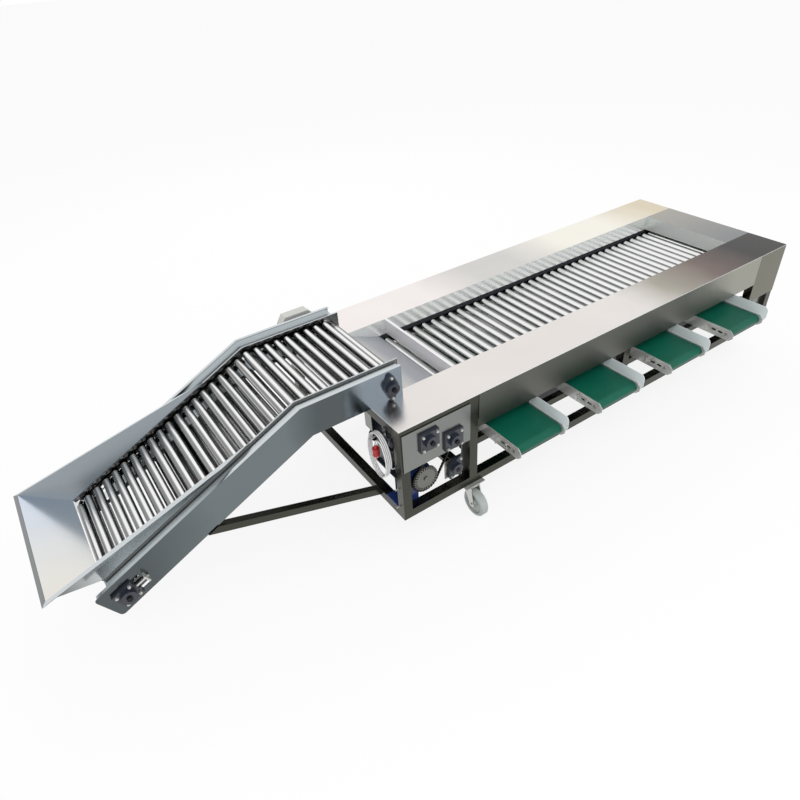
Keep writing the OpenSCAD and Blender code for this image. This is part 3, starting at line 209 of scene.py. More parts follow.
def place_along_group():
    """How far a point lies along a direction, from 0 to 1."""
    name = "Place along"
    if name in bpy.data.node_groups:
        return bpy.data.node_groups[name]
    group, source, sink = new_group(
        name,
        [("Direction", "NodeSocketVector", (1.0, 0.0, 0.0)), ("From", "NodeSocketFloat", 0.0),
         ("To", "NodeSocketFloat", 1.0), ("Waver", "NodeSocketFloat", 0.0)],
        [("Place", "NodeSocketFloat")])
    nodes, links = group.nodes, group.links
    place = nodes.new("ShaderNodeTexCoord")
    dot = nodes.new("ShaderNodeVectorMath")
    dot.operation = "DOT_PRODUCT"
    waves = nodes.new("ShaderNodeTexNoise")
    waves.inputs["Scale"].default_value = 5.0
    centred = nodes.new("ShaderNodeMath")
    centred.operation = "SUBTRACT"
    centred.inputs[1].default_value = 0.5
    moved = nodes.new("ShaderNodeMath")
    moved.operation = "MULTIPLY_ADD"
    share = nodes.new("ShaderNodeMapRange")
    links.new(place.outputs["Object"], dot.inputs[0])
    links.new(source.outputs["Direction"], dot.inputs[1])
    links.new(place.outputs["Object"], waves.inputs["Vector"])
    links.new(waves.outputs["Fac"], centred.inputs[0])
    links.new(centred.outputs[0], moved.inputs[0])
    links.new(source.outputs["Waver"], moved.inputs[1])
    links.new(dot.outputs["Value"], moved.inputs[2])
    links.new(moved.outputs[0], share.inputs["Value"])
    links.new(source.outputs["From"], share.inputs["From Min"])
    links.new(source.outputs["To"], share.inputs["From Max"])
    links.new(share.outputs["Result"], sink.inputs["Place"])
    return group


def speckle_group():
    """Fine pitting of castings, paint and moulded surfaces."""
    name = "Speckle"
    if name in bpy.data.node_groups:
        return bpy.data.node_groups[name]
    group, source, sink = new_group(
        name, [("Scale", "NodeSocketFloat", 400.0)],
        [("Fine", "NodeSocketFloat"), ("Broad", "NodeSocketFloat")])
    nodes, links = group.nodes, group.links
    place = nodes.new("ShaderNodeTexCoord")
    fine = nodes.new("ShaderNodeTexNoise")
    fine.inputs["Detail"].default_value = 2.0
    broad = nodes.new("ShaderNodeTexNoise")
    broad.inputs["Scale"].default_value = 14.0
    broad.inputs["Detail"].default_value = 3.0
    links.new(place.outputs["Object"], fine.inputs["Vector"])
    links.new(source.outputs["Scale"], fine.inputs["Scale"])
    links.new(place.outputs["Object"], broad.inputs["Vector"])
    links.new(fine.outputs["Fac"], sink.inputs["Fine"])
    links.new(broad.outputs["Fac"], sink.inputs["Broad"])
    return group


def facing_group():
    """How squarely a face looks along a direction, from 0 for away to 1 for straight along it."""
    name = "Facing"
    if name in bpy.data.node_groups:
        return bpy.data.node_groups[name]
    group, source, sink = new_group(
        name, [("Direction", "NodeSocketVector", (0.0, 0.0, 1.0))], [("Share", "NodeSocketFloat")])
    nodes, links = group.nodes, group.links
    place = nodes.new("ShaderNodeTexCoord")
    dot = nodes.new("ShaderNodeVectorMath")
    dot.operation = "DOT_PRODUCT"
    share = nodes.new("ShaderNodeMapRange")
    share.inputs["From Min"].default_value = -1.0
    links.new(place.outputs["Normal"], dot.inputs[0])
    links.new(source.outputs["Direction"], dot.inputs[1])
    links.new(dot.outputs["Value"], share.inputs["Value"])
    links.new(share.outputs["Result"], sink.inputs["Share"])
    return group


def off_middle_group():
    """1 where a point lies farther from the machine's middle line than a limit, else 0."""
    name = "Off middle"
    if name in bpy.data.node_groups:
        return bpy.data.node_groups[name]
    group, source, sink = new_group(
        name, [("Middle", "NodeSocketFloat", 0.0), ("Limit", "NodeSocketFloat", 0.2)],
        [("Outside", "NodeSocketFloat")])
    nodes, links = group.nodes, group.links
    place = nodes.new("ShaderNodeTexCoord")
    split = nodes.new("ShaderNodeSeparateXYZ")
    reach = nodes.new("ShaderNodeMath")
    reach.operation = "SUBTRACT"
    size = nodes.new("ShaderNodeMath")
    size.operation = "ABSOLUTE"
    past = nodes.new("ShaderNodeMath")
    past.operation = "GREATER_THAN"
    links.new(place.outputs["Object"], split.inputs[0])
    links.new(split.outputs["Y"], reach.inputs[0])
    links.new(source.outputs["Middle"], reach.inputs[1])
    links.new(reach.outputs[0], size.inputs[0])
    links.new(size.outputs[0], past.inputs[0])
    links.new(source.outputs["Limit"], past.inputs[1])
    links.new(past.outputs[0], sink.inputs["Outside"])
    return group


# Metres from the middle line, times the share of facing outward, below which a face looks inward
INWARD_LIMIT = -0.1


def inward_group():
    """1 on faces that look to the machine's middle line, else 0."""
    name = "Inward"
    if name in bpy.data.node_groups:
        return bpy.data.node_groups[name]
    group, source, sink = new_group(
        name, [("Middle", "NodeSocketFloat", 0.0)], [("Inside", "NodeSocketFloat")])
    nodes, links = group.nodes, group.links
    place = nodes.new("ShaderNodeTexCoord")
    where = nodes.new("ShaderNodeSeparateXYZ")
    facing = nodes.new("ShaderNodeSeparateXYZ")
    reach = nodes.new("ShaderNodeMath")
    reach.operation = "SUBTRACT"
    outward = nodes.new("ShaderNodeMath")
    outward.operation = "MULTIPLY"
    inside = nodes.new("ShaderNodeMath")
    inside.operation = "LESS_THAN"
    inside.inputs[1].default_value = INWARD_LIMIT
    links.new(place.outputs["Object"], where.inputs[0])
    links.new(place.outputs["Normal"], facing.inputs[0])
    links.new(where.outputs["Y"], reach.inputs[0])
    links.new(source.outputs["Middle"], reach.inputs[1])
    links.new(reach.outputs[0], outward.inputs[0])
    links.new(facing.outputs["Y"], outward.inputs[1])
    links.new(outward.outputs[0], inside.inputs[0])
    links.new(inside.outputs[0], sink.inputs["Inside"])
    return group


# Material helpers

def new_material(name):
    material = bpy.data.materials.new(name)
    material.use_nodes = True
    nodes = material.node_tree.nodes
    return material, nodes, material.node_tree.links, nodes["Principled BSDF"]


def add_group(nodes, group, **values):
    node = nodes.new("ShaderNodeGroup")
    node.node_tree = group
    for socket, value in values.items():
        node.inputs[socket.replace("_", " ")].default_value = value
    return node


def mix_colours(nodes, links, share, low, high):
    """A colour between two, by a share; each may be a colour or an output."""
    mix = nodes.new("ShaderNodeMix")
    mix.data_type = "RGBA"
    links.new(share, mix.inputs["Factor"])
    for socket, value in ((mix.inputs[6], low), (mix.inputs[7], high)):
        if isinstance(value, bpy.types.NodeSocket):
            links.new(value, socket)
        else:
            socket.default_value = (*value, 1.0)
    return mix.outputs[2]


def ramp(nodes, links, share, stops):
    """A colour ramp with (place, colour) stops."""
    node = nodes.new("ShaderNodeValToRGB")
    links.new(share, node.inputs["Fac"])
    elements = node.color_ramp.elements
    while len(elements) < len(stops):
        elements.new(1.0)
    for element, (place, colour) in zip(elements, stops):
        element.position = place
        element.color = (*colour, 1.0)
    return node.outputs["Color"]


def map_value(nodes, links, value, low, high):
    node = nodes.new("ShaderNodeMapRange")
    links.new(value, node.inputs["Value"])
    node.inputs["To Min"].default_value = low
    node.inputs["To Max"].default_value = high
    return node.outputs["Result"]


def add_bump(nodes, links, shader, height, strength, distance):
    bump = nodes.new("ShaderNodeBump")
    bump.inputs["Strength"].default_value = strength
    bump.inputs["Distance"].default_value = distance
    links.new(height, bump.inputs["Height"])
    links.new(bump.outputs["Normal"], shader.inputs["Normal"])


def darker(colour, share):
    return tuple(c * share for c in colour)


def past_share(nodes, links, look, limit):
    """1 on faces that look along a direction by more than a share, else 0."""
    facing = add_group(nodes, facing_group(), Direction=look)
    past = nodes.new("ShaderNodeMath")
    past.operation = "GREATER_THAN"
    past.inputs[1].default_value = limit
    links.new(facing.outputs["Share"], past.inputs[0])
    return past.outputs[0]


def multiply(nodes, links, one, other):
    node = nodes.new("ShaderNodeMath")
    node.operation = "MULTIPLY"
    links.new(one, node.inputs[0])
    links.new(other, node.inputs[1])
    return node.outputs[0]


def darkened(nodes, links, colour, share):
    """The colour of an output, darkened to a share."""
    mix = nodes.new("ShaderNodeMix")
    mix.data_type = "RGBA"
    mix.blend_type = "MULTIPLY"
    mix.inputs["Factor"].default_value = 1.0
    links.new(colour, mix.inputs[6])
    mix.inputs[7].default_value = (share, share, share, 1.0)
    return mix.outputs[2]


UP = (0.0, 0.0, 1.0)
REARWARD = (1.0, 0.0, 0.0)
# Stretch of the grain on sheets and tubes along the machine, across it and upright, and on rollers
LENGTHWISE = (4.0, 120.0, 120.0)
CROSSWISE = (120.0, 4.0, 120.0)
UPRIGHT = (120.0, 120.0, 4.0)
ROLLER_GRAIN = (60.0, 6.0, 60.0)
ROLLER_ROUGHNESS = (0.18, 0.28)
# Share of looking up above which a face counts as flat
FLAT = 0.8
# Darkest smudge on a sheet whose tone runs and on a sheet of one tone
RUNNING_SMUDGE = 0.88
PLAIN_SMUDGE = 0.84
# Roughness of polished inner faces, as a share of the rest
INSIDE_POLISH = 0.3
GRAIN_BUMP = 0.025
GRAIN_DEPTH = 0.0004
PIT_DEPTH = 0.0005


def sheet_metal(name, stops, direction=REARWARD, span=None, stretch=LENGTHWISE, roughness=(0.20, 0.28),
                waver=0.0, metallic=1.0, faces=(), length_span=None, inside=None, wall_metallic=None):
    """Stainless sheet or tube whose tone runs along a direction, with grain and smudges; a running tone is
    painted reflection and painted shade.

    Each of faces is a direction, a share, whether faces above or below it are meant, and their colour,
    which may also be a list of stops along length_span, from front to rear; on the elevator, guards and
    hopper these colours are painted highlight and shade.
    The faces that look to the machine's middle line may have a colour of their own, on the elevator a
    painted reflection, and upright walls may shine less than the flat sheet.
    """
    material, nodes, links, shader = new_material(name)
    shader.inputs["Metallic"].default_value = metallic
    grain = add_group(nodes, sheet_grain_group(), Stretch=stretch)
    rough = map_value(nodes, links, grain.outputs["Grain"], *roughness)
    if len(stops) > 1:
        start, end = span
        along = add_group(nodes, place_along_group(), Direction=direction, From=start, To=end, Waver=waver)
        tone = ramp(nodes, links, along.outputs["Place"], stops)
        smudged = darkened(nodes, links, tone, RUNNING_SMUDGE)
    else:
        tone = tuple(stops[0][1])
        smudged = darker(tone, PLAIN_SMUDGE)
    base = mix_colours(nodes, links, grain.outputs["Smudge"], smudged, tone)
    for look, limit, above, colour in faces:
        if isinstance(colour, list):
            front, rear = length_span
            length = add_group(nodes, place_along_group(), Direction=REARWARD, From=front, To=rear)
            colour = ramp(nodes, links, length.outputs["Place"], colour)
        past = past_share(nodes, links, look, limit)
        low, high = (base, colour) if above else (colour, base)
        base = mix_colours(nodes, links, past, low, high)
    if inside:
        inward = add_group(nodes, inward_group(), Middle=COVER_FRONT.y).outputs["Inside"]
        base = mix_colours(nodes, links, inward, base, inside)
        rough = multiply(nodes, links, rough, map_value(nodes, links, inward, 1.0, INSIDE_POLISH))
    if wall_metallic is not None:
        flat = past_share(nodes, links, UP, FLAT)
        links.new(map_value(nodes, links, flat, wall_metallic, metallic), shader.inputs["Metallic"])
    links.new(base, shader.inputs["Base Color"])
    links.new(rough, shader.inputs["Roughness"])
    add_bump(nodes, links, shader, grain.outputs["Grain"], GRAIN_BUMP, GRAIN_DEPTH)
    return material


def speckled(name, colour, roughness, bump, scale=400.0, metallic=0.0, coat=0.0, spread=0.75,
             gloss=0.5):
    """Paint, casting, rubber or plastic with a fine surface."""
    material, nodes, links, shader = new_material(name)
    shader.inputs["Metallic"].default_value = metallic
    shader.inputs["Coat Weight"].default_value = coat
    shader.inputs["Specular IOR Level"].default_value = gloss
    pits = add_group(nodes, speckle_group(), Scale=scale)
    base = mix_colours(nodes, links, pits.outputs["Broad"], darker(colour, spread), tuple(colour))
    links.new(base, shader.inputs["Base Color"])
    rough = map_value(nodes, links, pits.outputs["Broad"], *roughness)
    links.new(rough, shader.inputs["Roughness"])
    add_bump(nodes, links, shader, pits.outputs["Fine"], bump, PIT_DEPTH)
    return material


# Painted reflection bands and painted highlight of a polished tube from one edge to the other, as shares
# of the chrome
BED_REFLECTION_BANDS = [
    (0.0, 0.28), (0.12, 0.58), (0.30, 0.80), (0.45, 0.97), (0.70, 1.0), (0.82, 0.75), (0.91, 0.30),
    (1.0, 0.14)]
ELEVATOR_REFLECTION_BANDS = [
    (0.0, 0.55), (0.12, 0.52), (0.19, 0.30), (0.36, 0.28), (0.44, 0.55), (0.51, 1.0), (0.75, 1.0),
    (0.83, 0.48), (0.90, 0.16), (1.0, 0.12)]
# Half the length of the tubes, past which the chains start
BED_HALF = 0.2305
ELEVATOR_HALF = 0.2125
# Directions across the tubes in which the painted reflection bands run, with the painted highlight toward
# them
BED_ACROSS = (0.59, 0.0, 0.81)
INCLINE_ACROSS = (0.99, 0.0, 0.16)
FLAT_ACROSS = (0.84, 0.0, 0.55)
# Rows and shafts that share a finish, by the start of their names
ROLLER_ROWS = (
    ("bed", BED_HALF, BED_ACROSS, BED_REFLECTION_BANDS),
    ("elevator_incline", ELEVATOR_HALF, INCLINE_ACROSS, ELEVATOR_REFLECTION_BANDS),
    ("elevator_flat", ELEVATOR_HALF, FLAT_ACROSS, ELEVATOR_REFLECTION_BANDS),
    ("elevator_head", ELEVATOR_HALF, FLAT_ACROSS, ELEVATOR_REFLECTION_BANDS),
    ("elevator_tail", ELEVATOR_HALF, INCLINE_ACROSS, ELEVATOR_REFLECTION_BANDS),
)


def polished_rollers(name, chrome, chain, limit, across, bands):
    """Bright tubes with painted reflection bands and a painted highlight, between dark chains."""
    material, nodes, links, shader = new_material(name)
    shader.inputs["Metallic"].default_value = 1.0
    facing = add_group(nodes, facing_group(), Direction=across)
    stops = [(place, darker(chrome, share)) for place, share in bands]
    tone = ramp(nodes, links, facing.outputs["Share"], stops)
    outside = add_group(nodes, off_middle_group(), Middle=COVER_FRONT.y, Limit=limit)
    links.new(mix_colours(nodes, links, outside.outputs["Outside"], tone, tuple(chain)),
              shader.inputs["Base Color"])
    grain = add_group(nodes, sheet_grain_group(), Stretch=ROLLER_GRAIN)
    rough = map_value(nodes, links, grain.outputs["Grain"], *ROLLER_ROUGHNESS)
    links.new(rough, shader.inputs["Roughness"])
    return material


def finish_node(name, material):
    """Gives a CAD node its finish."""
    obj = NODES[name]
    obj.data.materials.clear()
    obj.data.materials.append(material)


def node_span(name, axis):
    low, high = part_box(name)
    return low[axis], high[axis]


# Pieces

# Shine of the walls round the roller bed, next to that of the flat covers
WALL_METALLIC = 0.4


class GRADER_OT_covers(bpy.types.Operator):
    """Finish the top covers, feed plate, leveller, skirts and panels"""
    bl_idname = "grader.covers"
    bl_label = "Covers and skirts"

    def execute(self, context):
        c = colours()
        walls = [(UP, FLAT, False, c.bed_wall)]
        # The near cover's tone along its length is painted reflection and painted shade
        near = sheet_metal(
            "near_cover_sheet",
            [(0.0, c.cover_front_reflection), (0.56, c.cover_front_reflection), (0.66, c.cover_painted_shade), (0.78, c.cover_warm_reflection),
             (0.90, c.cover_rear_reflection)],
            span=node_span("near_cover", 0), waver=0.12, faces=walls, wall_metallic=WALL_METALLIC)
        # The far cover's tone along its length is painted reflection
        far = sheet_metal(
            "far_cover_sheet",
            [(0.28, c.far_front_reflection), (0.41, c.far_middle_reflection), (0.53, c.far_middle_reflection), (0.66, c.far_bright_reflection),
             (0.80, c.far_bright_reflection), (0.96, c.far_rear_reflection)],
            span=node_span("far_cover", 0), waver=0.12, roughness=(0.12, 0.20),
            faces=walls, wall_metallic=WALL_METALLIC)
        # The end cover's tone across the machine is painted reflection
        end = sheet_metal(
            "end_cover_sheet", [(0.0, c.end_near_reflection), (1.0, c.end_far_reflection)], direction=(0.0, 1.0, 0.0),
            span=node_span("end_cover", 1), waver=0.06, stretch=CROSSWISE,
            faces=walls, wall_metallic=WALL_METALLIC)
        # The feed plate's tone along its length is painted reflection
        feed = sheet_metal(
            "feed_sheet", [(0.45, c.feed_front_reflection), (0.75, c.feed_rear_reflection)], span=node_span("feed_plate", 0),
            waver=0.1, stretch=CROSSWISE, metallic=0.2)
        leveller = sheet_metal("leveller_sheet", [(0.0, c.leveller)], stretch=CROSSWISE, metallic=0.2)
        # The skirt's tone along its length is painted reflection
        skirt = sheet_metal(
            "skirt_sheet", [(0.0, c.skirt_dark_reflection), (0.68, c.skirt_dark_reflection), (0.88, c.skirt_light_reflection)],
            span=node_span("side_skirts", 0), waver=0.1, roughness=(0.34, 0.42))
        panel = sheet_metal("rear_panel_sheet", [(0.0, c.rear_panel)])
        for name, material in (("near_cover", near), ("far_cover", far), ("end_cover", end),
                               ("feed_plate", feed), ("leveller_plate", leveller),
                               ("side_skirts", skirt), ("end_panels", panel)):
            finish_node(name, material)
        return {"FINISHED"}


# Cross tubes stand in the shade of the covers
CROSS_TUBE_SHADE = 0.6


class GRADER_OT_frame(bpy.types.Operator):
    """Finish the square tube frame, plates and struts"""
    bl_idname = "grader.frame"
    bl_label = "Frame tubes and plates"

    def execute(self, context):
        c = colours()
        upright = sheet_metal("upright_tube", [(0.0, c.tube)], stretch=UPRIGHT)
        long_tube = sheet_metal("long_tube", [(0.0, c.tube)])
        cross_tube = sheet_metal(
            "cross_tube", [(0.0, darker(c.tube, CROSS_TUBE_SHADE))], stretch=CROSSWISE)
        drive_plate = sheet_metal("drive_plate_sheet", [(0.0, c.drive_plate)])
        plate = sheet_metal("plain_plate", [(0.0, c.plate)])
        rail = speckled("slide_strip", c.rail, (0.45, 0.6), 0.1)
        finish_node("posts", upright)
        for name in ("long_rails", "struts"):
            finish_node(name, long_tube)
        for name in ("cross_rails", "elevator_ties"):
            finish_node(name, cross_tube)
        finish_node("drive_plates", drive_plate)
        finish_node("slider_beds", plate)
        bracket = sheet_metal("belt_plate_sheet", [(0.0, c.belt_plate)], metallic=0.4)
        for name in ("caster_plates", "belt_side_plates"):
            finish_node(name, bracket)
        finish_node("chain_rails", rail)
        return {"FINISHED"}


# Shares by which the hopper's faces are told apart: the front lip looks forward, the side lips lie nearly
# level and the outer faces look down
FORWARD_LIP = 0.35
LEVEL_LIP = 0.965
DOWNWARD = 0.45
# Ends of the painted reflection tone across the hopper's front sheet
HOPPER_SPAN = (-0.35, 0.2)
# Corner sheets of the guards, round the chain's turn at the elevator's head, in millimetres from the
# covers' front edge
HEAD_AXIS = (90.0, 62.0)
CORNER_CLEAR = 50.0
CORNER_ALONG = (107.0, 143.0)
CORNER_ACROSS = (226.5, 228.0)
CORNER_TOP = 118.9
CORNER_STEPS = 8


class GRADER_OT_elevator(bpy.types.Operator):
    """Finish the elevator's sheet metal and hopper"""
    bl_idname = "grader.elevator"
    bl_label = "Elevator and hopper"

    def execute(self, context):
        c = colours()
        # Elevator sides: painted shade and light along the length, painted reflection at the head and
        # inside, painted highlight on top faces
        sides = sheet_metal(
            "elevator_sheet",
            [(0.15, c.elevator_painted_shade), (0.36, c.elevator_painted_light), (0.62, c.elevator_painted_light),
             (0.72, c.elevator_painted_shade), (0.79, c.elevator_painted_shade), (0.86, c.elevator_head)],
            span=node_span("elevator_sides", 0), waver=0.10, roughness=(0.14, 0.22),
            faces=[(UP, FLAT, True, c.edge)], inside=c.elevator_inside_reflection)
        # Guard: painted highlight on its top faces, painted shade on its upright faces
        guard = sheet_metal("guard_sheet", [(0.0, c.edge)], faces=[(UP, FLAT, False, c.guard_wall_shade)])
        # Outer faces: painted light, with a painted shadow at the front end and painted shade toward the
        # rear
        under = [(0.05, darker(c.hopper_under, 0.15)), (0.30, c.hopper_under), (0.55, c.hopper_under),
                 (0.90, darker(c.hopper_under, 0.55))]
        # Hopper: painted reflection across the front sheet, painted highlight on level lips, painted shade
        # on sides and forward lip
        hopper = sheet_metal(
            "hopper_sheet", [(0.0, c.hopper_cool_reflection), (1.0, c.hopper_warm_reflection)], direction=(0.0, -1.0, 0.0),
            span=HOPPER_SPAN, roughness=(0.14, 0.24), waver=0.2,
            faces=[(REARWARD, FORWARD_LIP, False, c.hopper_lip_shade), (UP, LEVEL_LIP, True, c.edge),
                   (UP, FLAT, False, c.hopper_side_shade), (UP, DOWNWARD, False, under)],
            length_span=node_span("hopper", 0))
        cover = sheet_metal("drive_guard_sheet", [(0.0, c.drive_guard)], metallic=0.3)
        guide = sheet_metal("guide_sheet", [(0.0, c.guide)], metallic=0.0, roughness=(0.30, 0.40))
        for name, material in (("elevator_sides", sides), ("elevator_guards", guard), ("hopper", hopper),
                               ("drive_guard", cover), ("belt_guides", guide)):
            finish_node(name, material)
        for name, side in (("guard_corner_near", -1.0), ("guard_corner_far", 1.0)):
            self.guard_corner(context, name, side, guard)
        return {"FINISHED"}

    def guard_corner(self, context, name, side, material):
        """Thin sheet that closes a guard's corner outside the chain's turn."""
        axis_x, axis_z = HEAD_AXIS
        front, rear = CORNER_ALONG
        first = math.acos((front - axis_x) / CORNER_CLEAR)
        turns = [first * (1.0 - i / CORNER_STEPS) for i in range(CORNER_STEPS + 1)]
        outline = [(axis_x + CORNER_CLEAR * math.cos(a), axis_z + CORNER_CLEAR * math.sin(a))
                   for a in turns]
        outline += [(rear, axis_z), (rear, CORNER_TOP), (front, CORNER_TOP)]
        across = sorted(side * y for y in CORNER_ACROSS)
        count = len(outline)
        faces = [tuple(range(count)), tuple(range(2 * count - 1, count - 1, -1))]
        faces += [(i, count + i, count + (i + 1) % count, (i + 1) % count) for i in range(count)]
        mesh = bpy.data.meshes.new(name)
        mesh.from_pydata(from_drawing([(x, y, z) for y in across for x, z in outline]), [], faces)
        obj = bpy.data.objects.new(name, mesh)
        context.scene.collection.objects.link(obj)
        mesh.materials.append(material)
        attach(obj, BODY)


class GRADER_OT_rollers(bpy.types.Operator):
    """Finish the roller rows, shafts and chains"""
    bl_idname = "grader.rollers"
    bl_label = "Rollers and shafts"

    def execute(self, context):
        c = colours()
        chain = speckled("oiled_steel", c.chain, (0.3, 0.45), 0.1, metallic=1.0)
        for prefix, half, across, bands in ROLLER_ROWS:
            tube = polished_rollers(f"{prefix}_roller_tube", c.chrome, c.chain, half, across, bands)
            for name in NODES:
                if name.startswith(prefix) and name.endswith(("_run", "_return", "_shaft")):
                    finish_node(name, tube)
        finish_node("nose_rollers", speckled("plain_roller", c.plate, (0.25, 0.4), 0.1, metallic=1.0))
        bare = speckled("bare_chain_wheel", c.cut_steel, (0.35, 0.5), 0.2, metallic=1.0)
        finish_node("gearbox_sprocket", bare)
        for name in ("countershaft", "elevator_sprocket", "belt_line_shaft", "drive_chains"):
            finish_node(name, chain)
        return {"FINISHED"}


class GRADER_OT_drives(bpy.types.Operator):
    """Finish the bearings, motors, gearboxes and fasteners"""
    bl_idname = "grader.drives"
    bl_label = "Bearings and drives"

    def execute(self, context):
        c = colours()
        navy = speckled("navy_paint", c.navy, (0.3, 0.5), 0.25, coat=0.4)
        blue = speckled("blue_paint", c.blue, (0.3, 0.5), 0.25, coat=0.2)
        zinc = speckled("plated_bolts", c.zinc, (0.2, 0.35), 0.1, metallic=0.6)
        for name in ("bearing_units", "elevator_motor", "belt_motor"):
            finish_node(name, navy)
        for name in ("bed_gearbox", "bed_motor"):
            finish_node(name, blue)
        finish_node("fasteners", zinc)
        return {"FINISHED"}


class GRADER_OT_belts(bpy.types.Operator):
    """Finish the discharge belts"""
    bl_idname = "grader.belts"
    bl_label = "Discharge belts"

    def execute(self, context):
        belt = speckled("green_belt", colours().belt, (0.35, 0.5), 0.15, scale=900.0, gloss=0.25)
        finish_node("conveyor_belts", belt)
        return {"FINISHED"}


class GRADER_OT_casters(bpy.types.Operator):
    """Finish the casters"""
    bl_idname = "grader.casters"
    bl_label = "Casters"

    def execute(self, context):
        c = colours()
        fork = speckled("caster_fork_plate", c.zinc, (0.25, 0.4), 0.1, metallic=1.0)
        wheel = speckled("caster_wheel_nylon", c.wheel, (0.4, 0.55), 0.2)
        for number in range(1, 5):
            finish_node(f"caster_fork_{number}", fork)
            finish_node(f"caster_wheel_{number}", wheel)
        return {"FINISHED"}


# Cable route, in millimetres from the covers' front edge
COIL_X = -14.0
COIL_CENTRE = (-350.0, -165.0)
COIL_GAP = 1.5
LEAD_MM = [
    (38, -380, -132), (38, -380, -142), (38, -381.5, -153), (38, -385, -165), (38, -389.5, -178),
    (38, -393.5, -190), (36.4, -396, -198.9), (31.9, -398, -206.7), (25, -400, -212.5),
    (16.5, -402, -215.6), (7.5, -404, -215.6), (-1, -406, -212.5), (-7.9, -408.5, -206.7),
    (-12.4, -411, -198.9), (-14, -413, -188), (-14, -414.5, -177),
]
TAIL_TURN = 25.0
TAIL_END = 4.0
TAIL_STEPS = 7
COIL_RINGS = 24
ROUTE_PARTS = 4


def coil_points():
    """The loops, wound forward from the lead, and the tail that turns down to the plug."""
    s = sizes()
    step = s.cable_d * 1000.0 + COIL_GAP
    half_w, half_h = s.coil_w * 500.0, s.coil_h * 500.0
    y, z = COIL_CENTRE
    points = []
    for i in range(s.coil_loops * COIL_RINGS + COIL_RINGS // 8 + 1):
        a = 2.0 * math.pi * i / COIL_RINGS
        points.append((COIL_X - i / COIL_RINGS * step, y - half_w * math.cos(a), z + half_h * math.sin(a)))
    x = points[-1][0]
    size = math.hypot(half_w, half_h)
    turn_y = points[-1][1] + TAIL_TURN * half_h / size
    turn_z = points[-1][2] - TAIL_TURN * half_w / size
    start = math.atan2(half_w, -half_h)
    for k in range(1, TAIL_STEPS + 1):
        a = start * (1.0 - k / TAIL_STEPS)
        points.append((x, turn_y + TAIL_TURN * math.cos(a), turn_z + TAIL_TURN * math.sin(a)))
    points.append((x, turn_y + TAIL_TURN, turn_z - TAIL_END))
    return points


def smooth(points, parts):
    """A smooth line through points, with that many steps between neighbours."""
    out = []
    for i in range(len(points) - 1):
        a = points[max(i - 1, 0)]
        b, c = points[i], points[i + 1]
        d = points[min(i + 2, len(points) - 1)]
        for k in range(parts):
            t = k / parts
            out.append(0.5 * (2 * b + (c - a) * t + (2 * a - 5 * b + 4 * c - d) * t * t
                              + (3 * b - a - 3 * c + d) * t * t * t))
    out.append(points[-1])
    return out


class GRADER_OT_cable(bpy.types.Operator):
    """Lay the power cable along its route and finish its plug"""
    bl_idname = "grader.cable"
    bl_label = "Power cable"

    def execute(self, context):
        c, s = colours(), sizes()
        route = smooth(from_drawing(LEAD_MM + coil_points()), ROUTE_PARTS)
        curve = bpy.data.curves.new("power_cable", "CURVE")
        curve.dimensions = "3D"
        curve.bevel_depth = s.cable_d / 2
        curve.bevel_resolution = 4
        curve.use_fill_caps = True
        spline = curve.splines.new("POLY")
        spline.points.add(len(route) - 1)
        for point, place in zip(spline.points, route):
            point.co = (*place, 1.0)
        cable = bpy.data.objects.new("power_cable", curve)
        context.scene.collection.objects.link(cable)
        curve.materials.append(speckled("cable_sheath", c.cable, (0.35, 0.5), 0.1))
        finish_node("cable_plug", speckled("red_plug", c.plug, (0.25, 0.4), 0.1))
        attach(cable, BODY)
        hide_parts("cable_coil", "cable_lead")
        return {"FINISHED"}


# Stage

CAMERA_PLACE = (-1.494, -1.855, 2.054)
SENSOR_WIDTH = 36.0
FLOOR_HALF = 40.0
FLOOR_ROUGHNESS = 0.9
# White that the floor sends to the camera and to mirrors, and the world's light on all other surfaces
FLOOR_WHITE = 0.85
WORLD_LIGHT = 0.8
LAMP_SIZE = 3.0
LAMP_AIM = (0.0, 0.0, 0.4)
LAMPS = (
    ("key_lamp", (-2.5, -3.5, 4.5), 90.0),
    ("fill_lamp", (3.5, -3.0, 4.0), 50.0),
    ("back_lamp", (1.0, 4.0, 4.0), 50.0),
)


def seen_directly(nodes, links):
    """1 for what the camera or a mirror sees, else 0."""
    rays = nodes.new("ShaderNodeLightPath")
    seen = nodes.new("ShaderNodeMath")
    seen.operation = "MAXIMUM"
    links.new(rays.outputs["Is Camera Ray"], seen.inputs[0])
    links.new(rays.outputs["Is Glossy Ray"], seen.inputs[1])
    return seen.outputs[0]


def camera_matrix():
    s = sizes()
    az, el, roll = s.camera_azimuth, s.camera_elevation, s.camera_roll
    back = Vector((math.sin(az) * math.cos(el), -math.cos(az) * math.cos(el), math.sin(el)))
    right = (-back).cross(Vector((0, 0, 1))).normalized()
    up = right.cross(-back)
    right_2 = right * math.cos(roll) + up * math.sin(roll)
    up_2 = -right * math.sin(roll) + up * math.cos(roll)
    turn = Matrix((right_2, up_2, back)).transposed().to_4x4()
    return Matrix.Translation(CAMERA_PLACE) @ turn


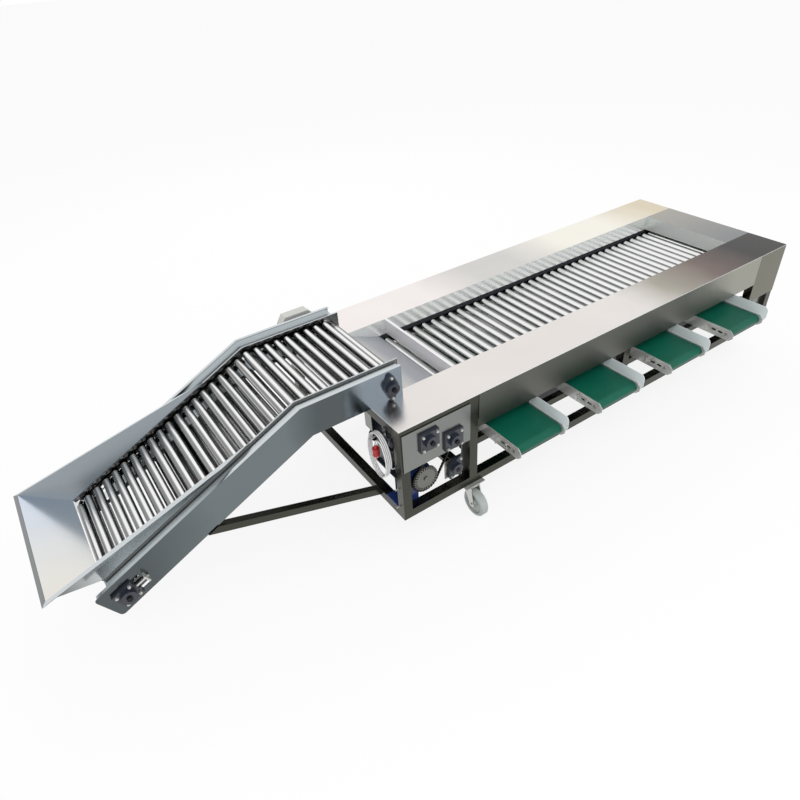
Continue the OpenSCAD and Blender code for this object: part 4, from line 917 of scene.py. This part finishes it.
class GRADER_OT_stage(bpy.types.Operator):
    """Set up the camera, floor, lamps and world"""
    bl_idname = "grader.stage"
    bl_label = "Stage"

    def execute(self, context):
        scene = context.scene
        camera = bpy.data.cameras.new("photo_camera")
        camera.sensor_width = SENSOR_WIDTH
        camera.lens = sizes().lens
        camera_object = bpy.data.objects.new("photo_camera", camera)
        camera_object.matrix_world = camera_matrix()
        scene.collection.objects.link(camera_object)
        scene.camera = camera_object

        mesh = bpy.data.meshes.new("studio_floor")
        half = FLOOR_HALF
        corners = [(-half, -half, 0), (half, -half, 0), (half, half, 0), (-half, half, 0)]
        mesh.from_pydata(corners, [], [(0, 1, 2, 3)])
        floor = bpy.data.objects.new("studio_floor", mesh)
        scene.collection.objects.link(floor)
        mesh.materials.append(self.floor_material())

        for name, place, watts in LAMPS:
            self.lamp(name, place, watts)

        world = bpy.data.worlds.new("studio_world")
        scene.world = world
        world.use_nodes = True
        nodes, links = world.node_tree.nodes, world.node_tree.links
        background = nodes["Background"]
        strength = map_value(nodes, links, seen_directly(nodes, links), WORLD_LIGHT, 1.0)
        background.inputs["Color"].default_value = (1.0, 1.0, 1.0, 1.0)
        links.new(strength, background.inputs["Strength"])
        scene.view_settings.view_transform = "Standard"
        return {"FINISHED"}

    def floor_material(self):
        """Pale floor that keeps the shadow and still meets the white background."""
        material, nodes, links, shader = new_material("pale_floor")
        shader.inputs["Base Color"].default_value = (*colours().floor, 1.0)
        shader.inputs["Roughness"].default_value = FLOOR_ROUGHNESS
        share = map_value(nodes, links, seen_directly(nodes, links), 0.0, FLOOR_WHITE)
        white = nodes.new("ShaderNodeEmission")
        mix = nodes.new("ShaderNodeMixShader")
        links.new(share, mix.inputs["Fac"])
        links.new(shader.outputs["BSDF"], mix.inputs[1])
        links.new(white.outputs["Emission"], mix.inputs[2])
        links.new(mix.outputs["Shader"], nodes["Material Output"].inputs["Surface"])
        return material

    def lamp(self, name, place, watts):
        """Soft square lamp that mirrors don't show."""
        light = bpy.data.lights.new(name, "AREA")
        light.size = LAMP_SIZE
        light.energy = watts
        obj = bpy.data.objects.new(name, light)
        obj.location = place
        aim = Vector(LAMP_AIM) - Vector(place)
        obj.rotation_euler = aim.to_track_quat("-Z", "Y").to_euler()
        obj.visible_glossy = False
        bpy.context.scene.collection.objects.link(obj)


OPERATORS = (
    GRADER_OT_stage, GRADER_OT_cable, GRADER_OT_covers, GRADER_OT_frame, GRADER_OT_elevator,
    GRADER_OT_rollers, GRADER_OT_drives, GRADER_OT_belts, GRADER_OT_casters,
)


class GRADER_PT_panel(bpy.types.Panel):
    """Buttons for the machine's pieces and its stage"""
    bl_idname = "GRADER_PT_panel"
    bl_label = "Fruit grading machine"
    bl_space_type = "VIEW_3D"
    bl_region_type = "UI"
    bl_category = "Grader"

    def draw(self, context):
        for operator in OPERATORS:
            self.layout.operator(operator.bl_idname)


CLASSES = (GraderColours, GraderSizes, *OPERATORS, GRADER_PT_panel)


def register():
    for cls in CLASSES:
        bpy.utils.register_class(cls)
    bpy.types.Scene.grader_colours = bpy.props.PointerProperty(type=GraderColours)
    bpy.types.Scene.grader_sizes = bpy.props.PointerProperty(type=GraderSizes)


def unregister():
    del bpy.types.Scene.grader_sizes
    del bpy.types.Scene.grader_colours
    for cls in reversed(CLASSES):
        bpy.utils.unregister_class(cls)


def main():
    register()
    for operator in OPERATORS:
        group, name = operator.bl_idname.split(".")
        getattr(getattr(bpy.ops, group), name)()


if __name__ == "__main__":
    main()
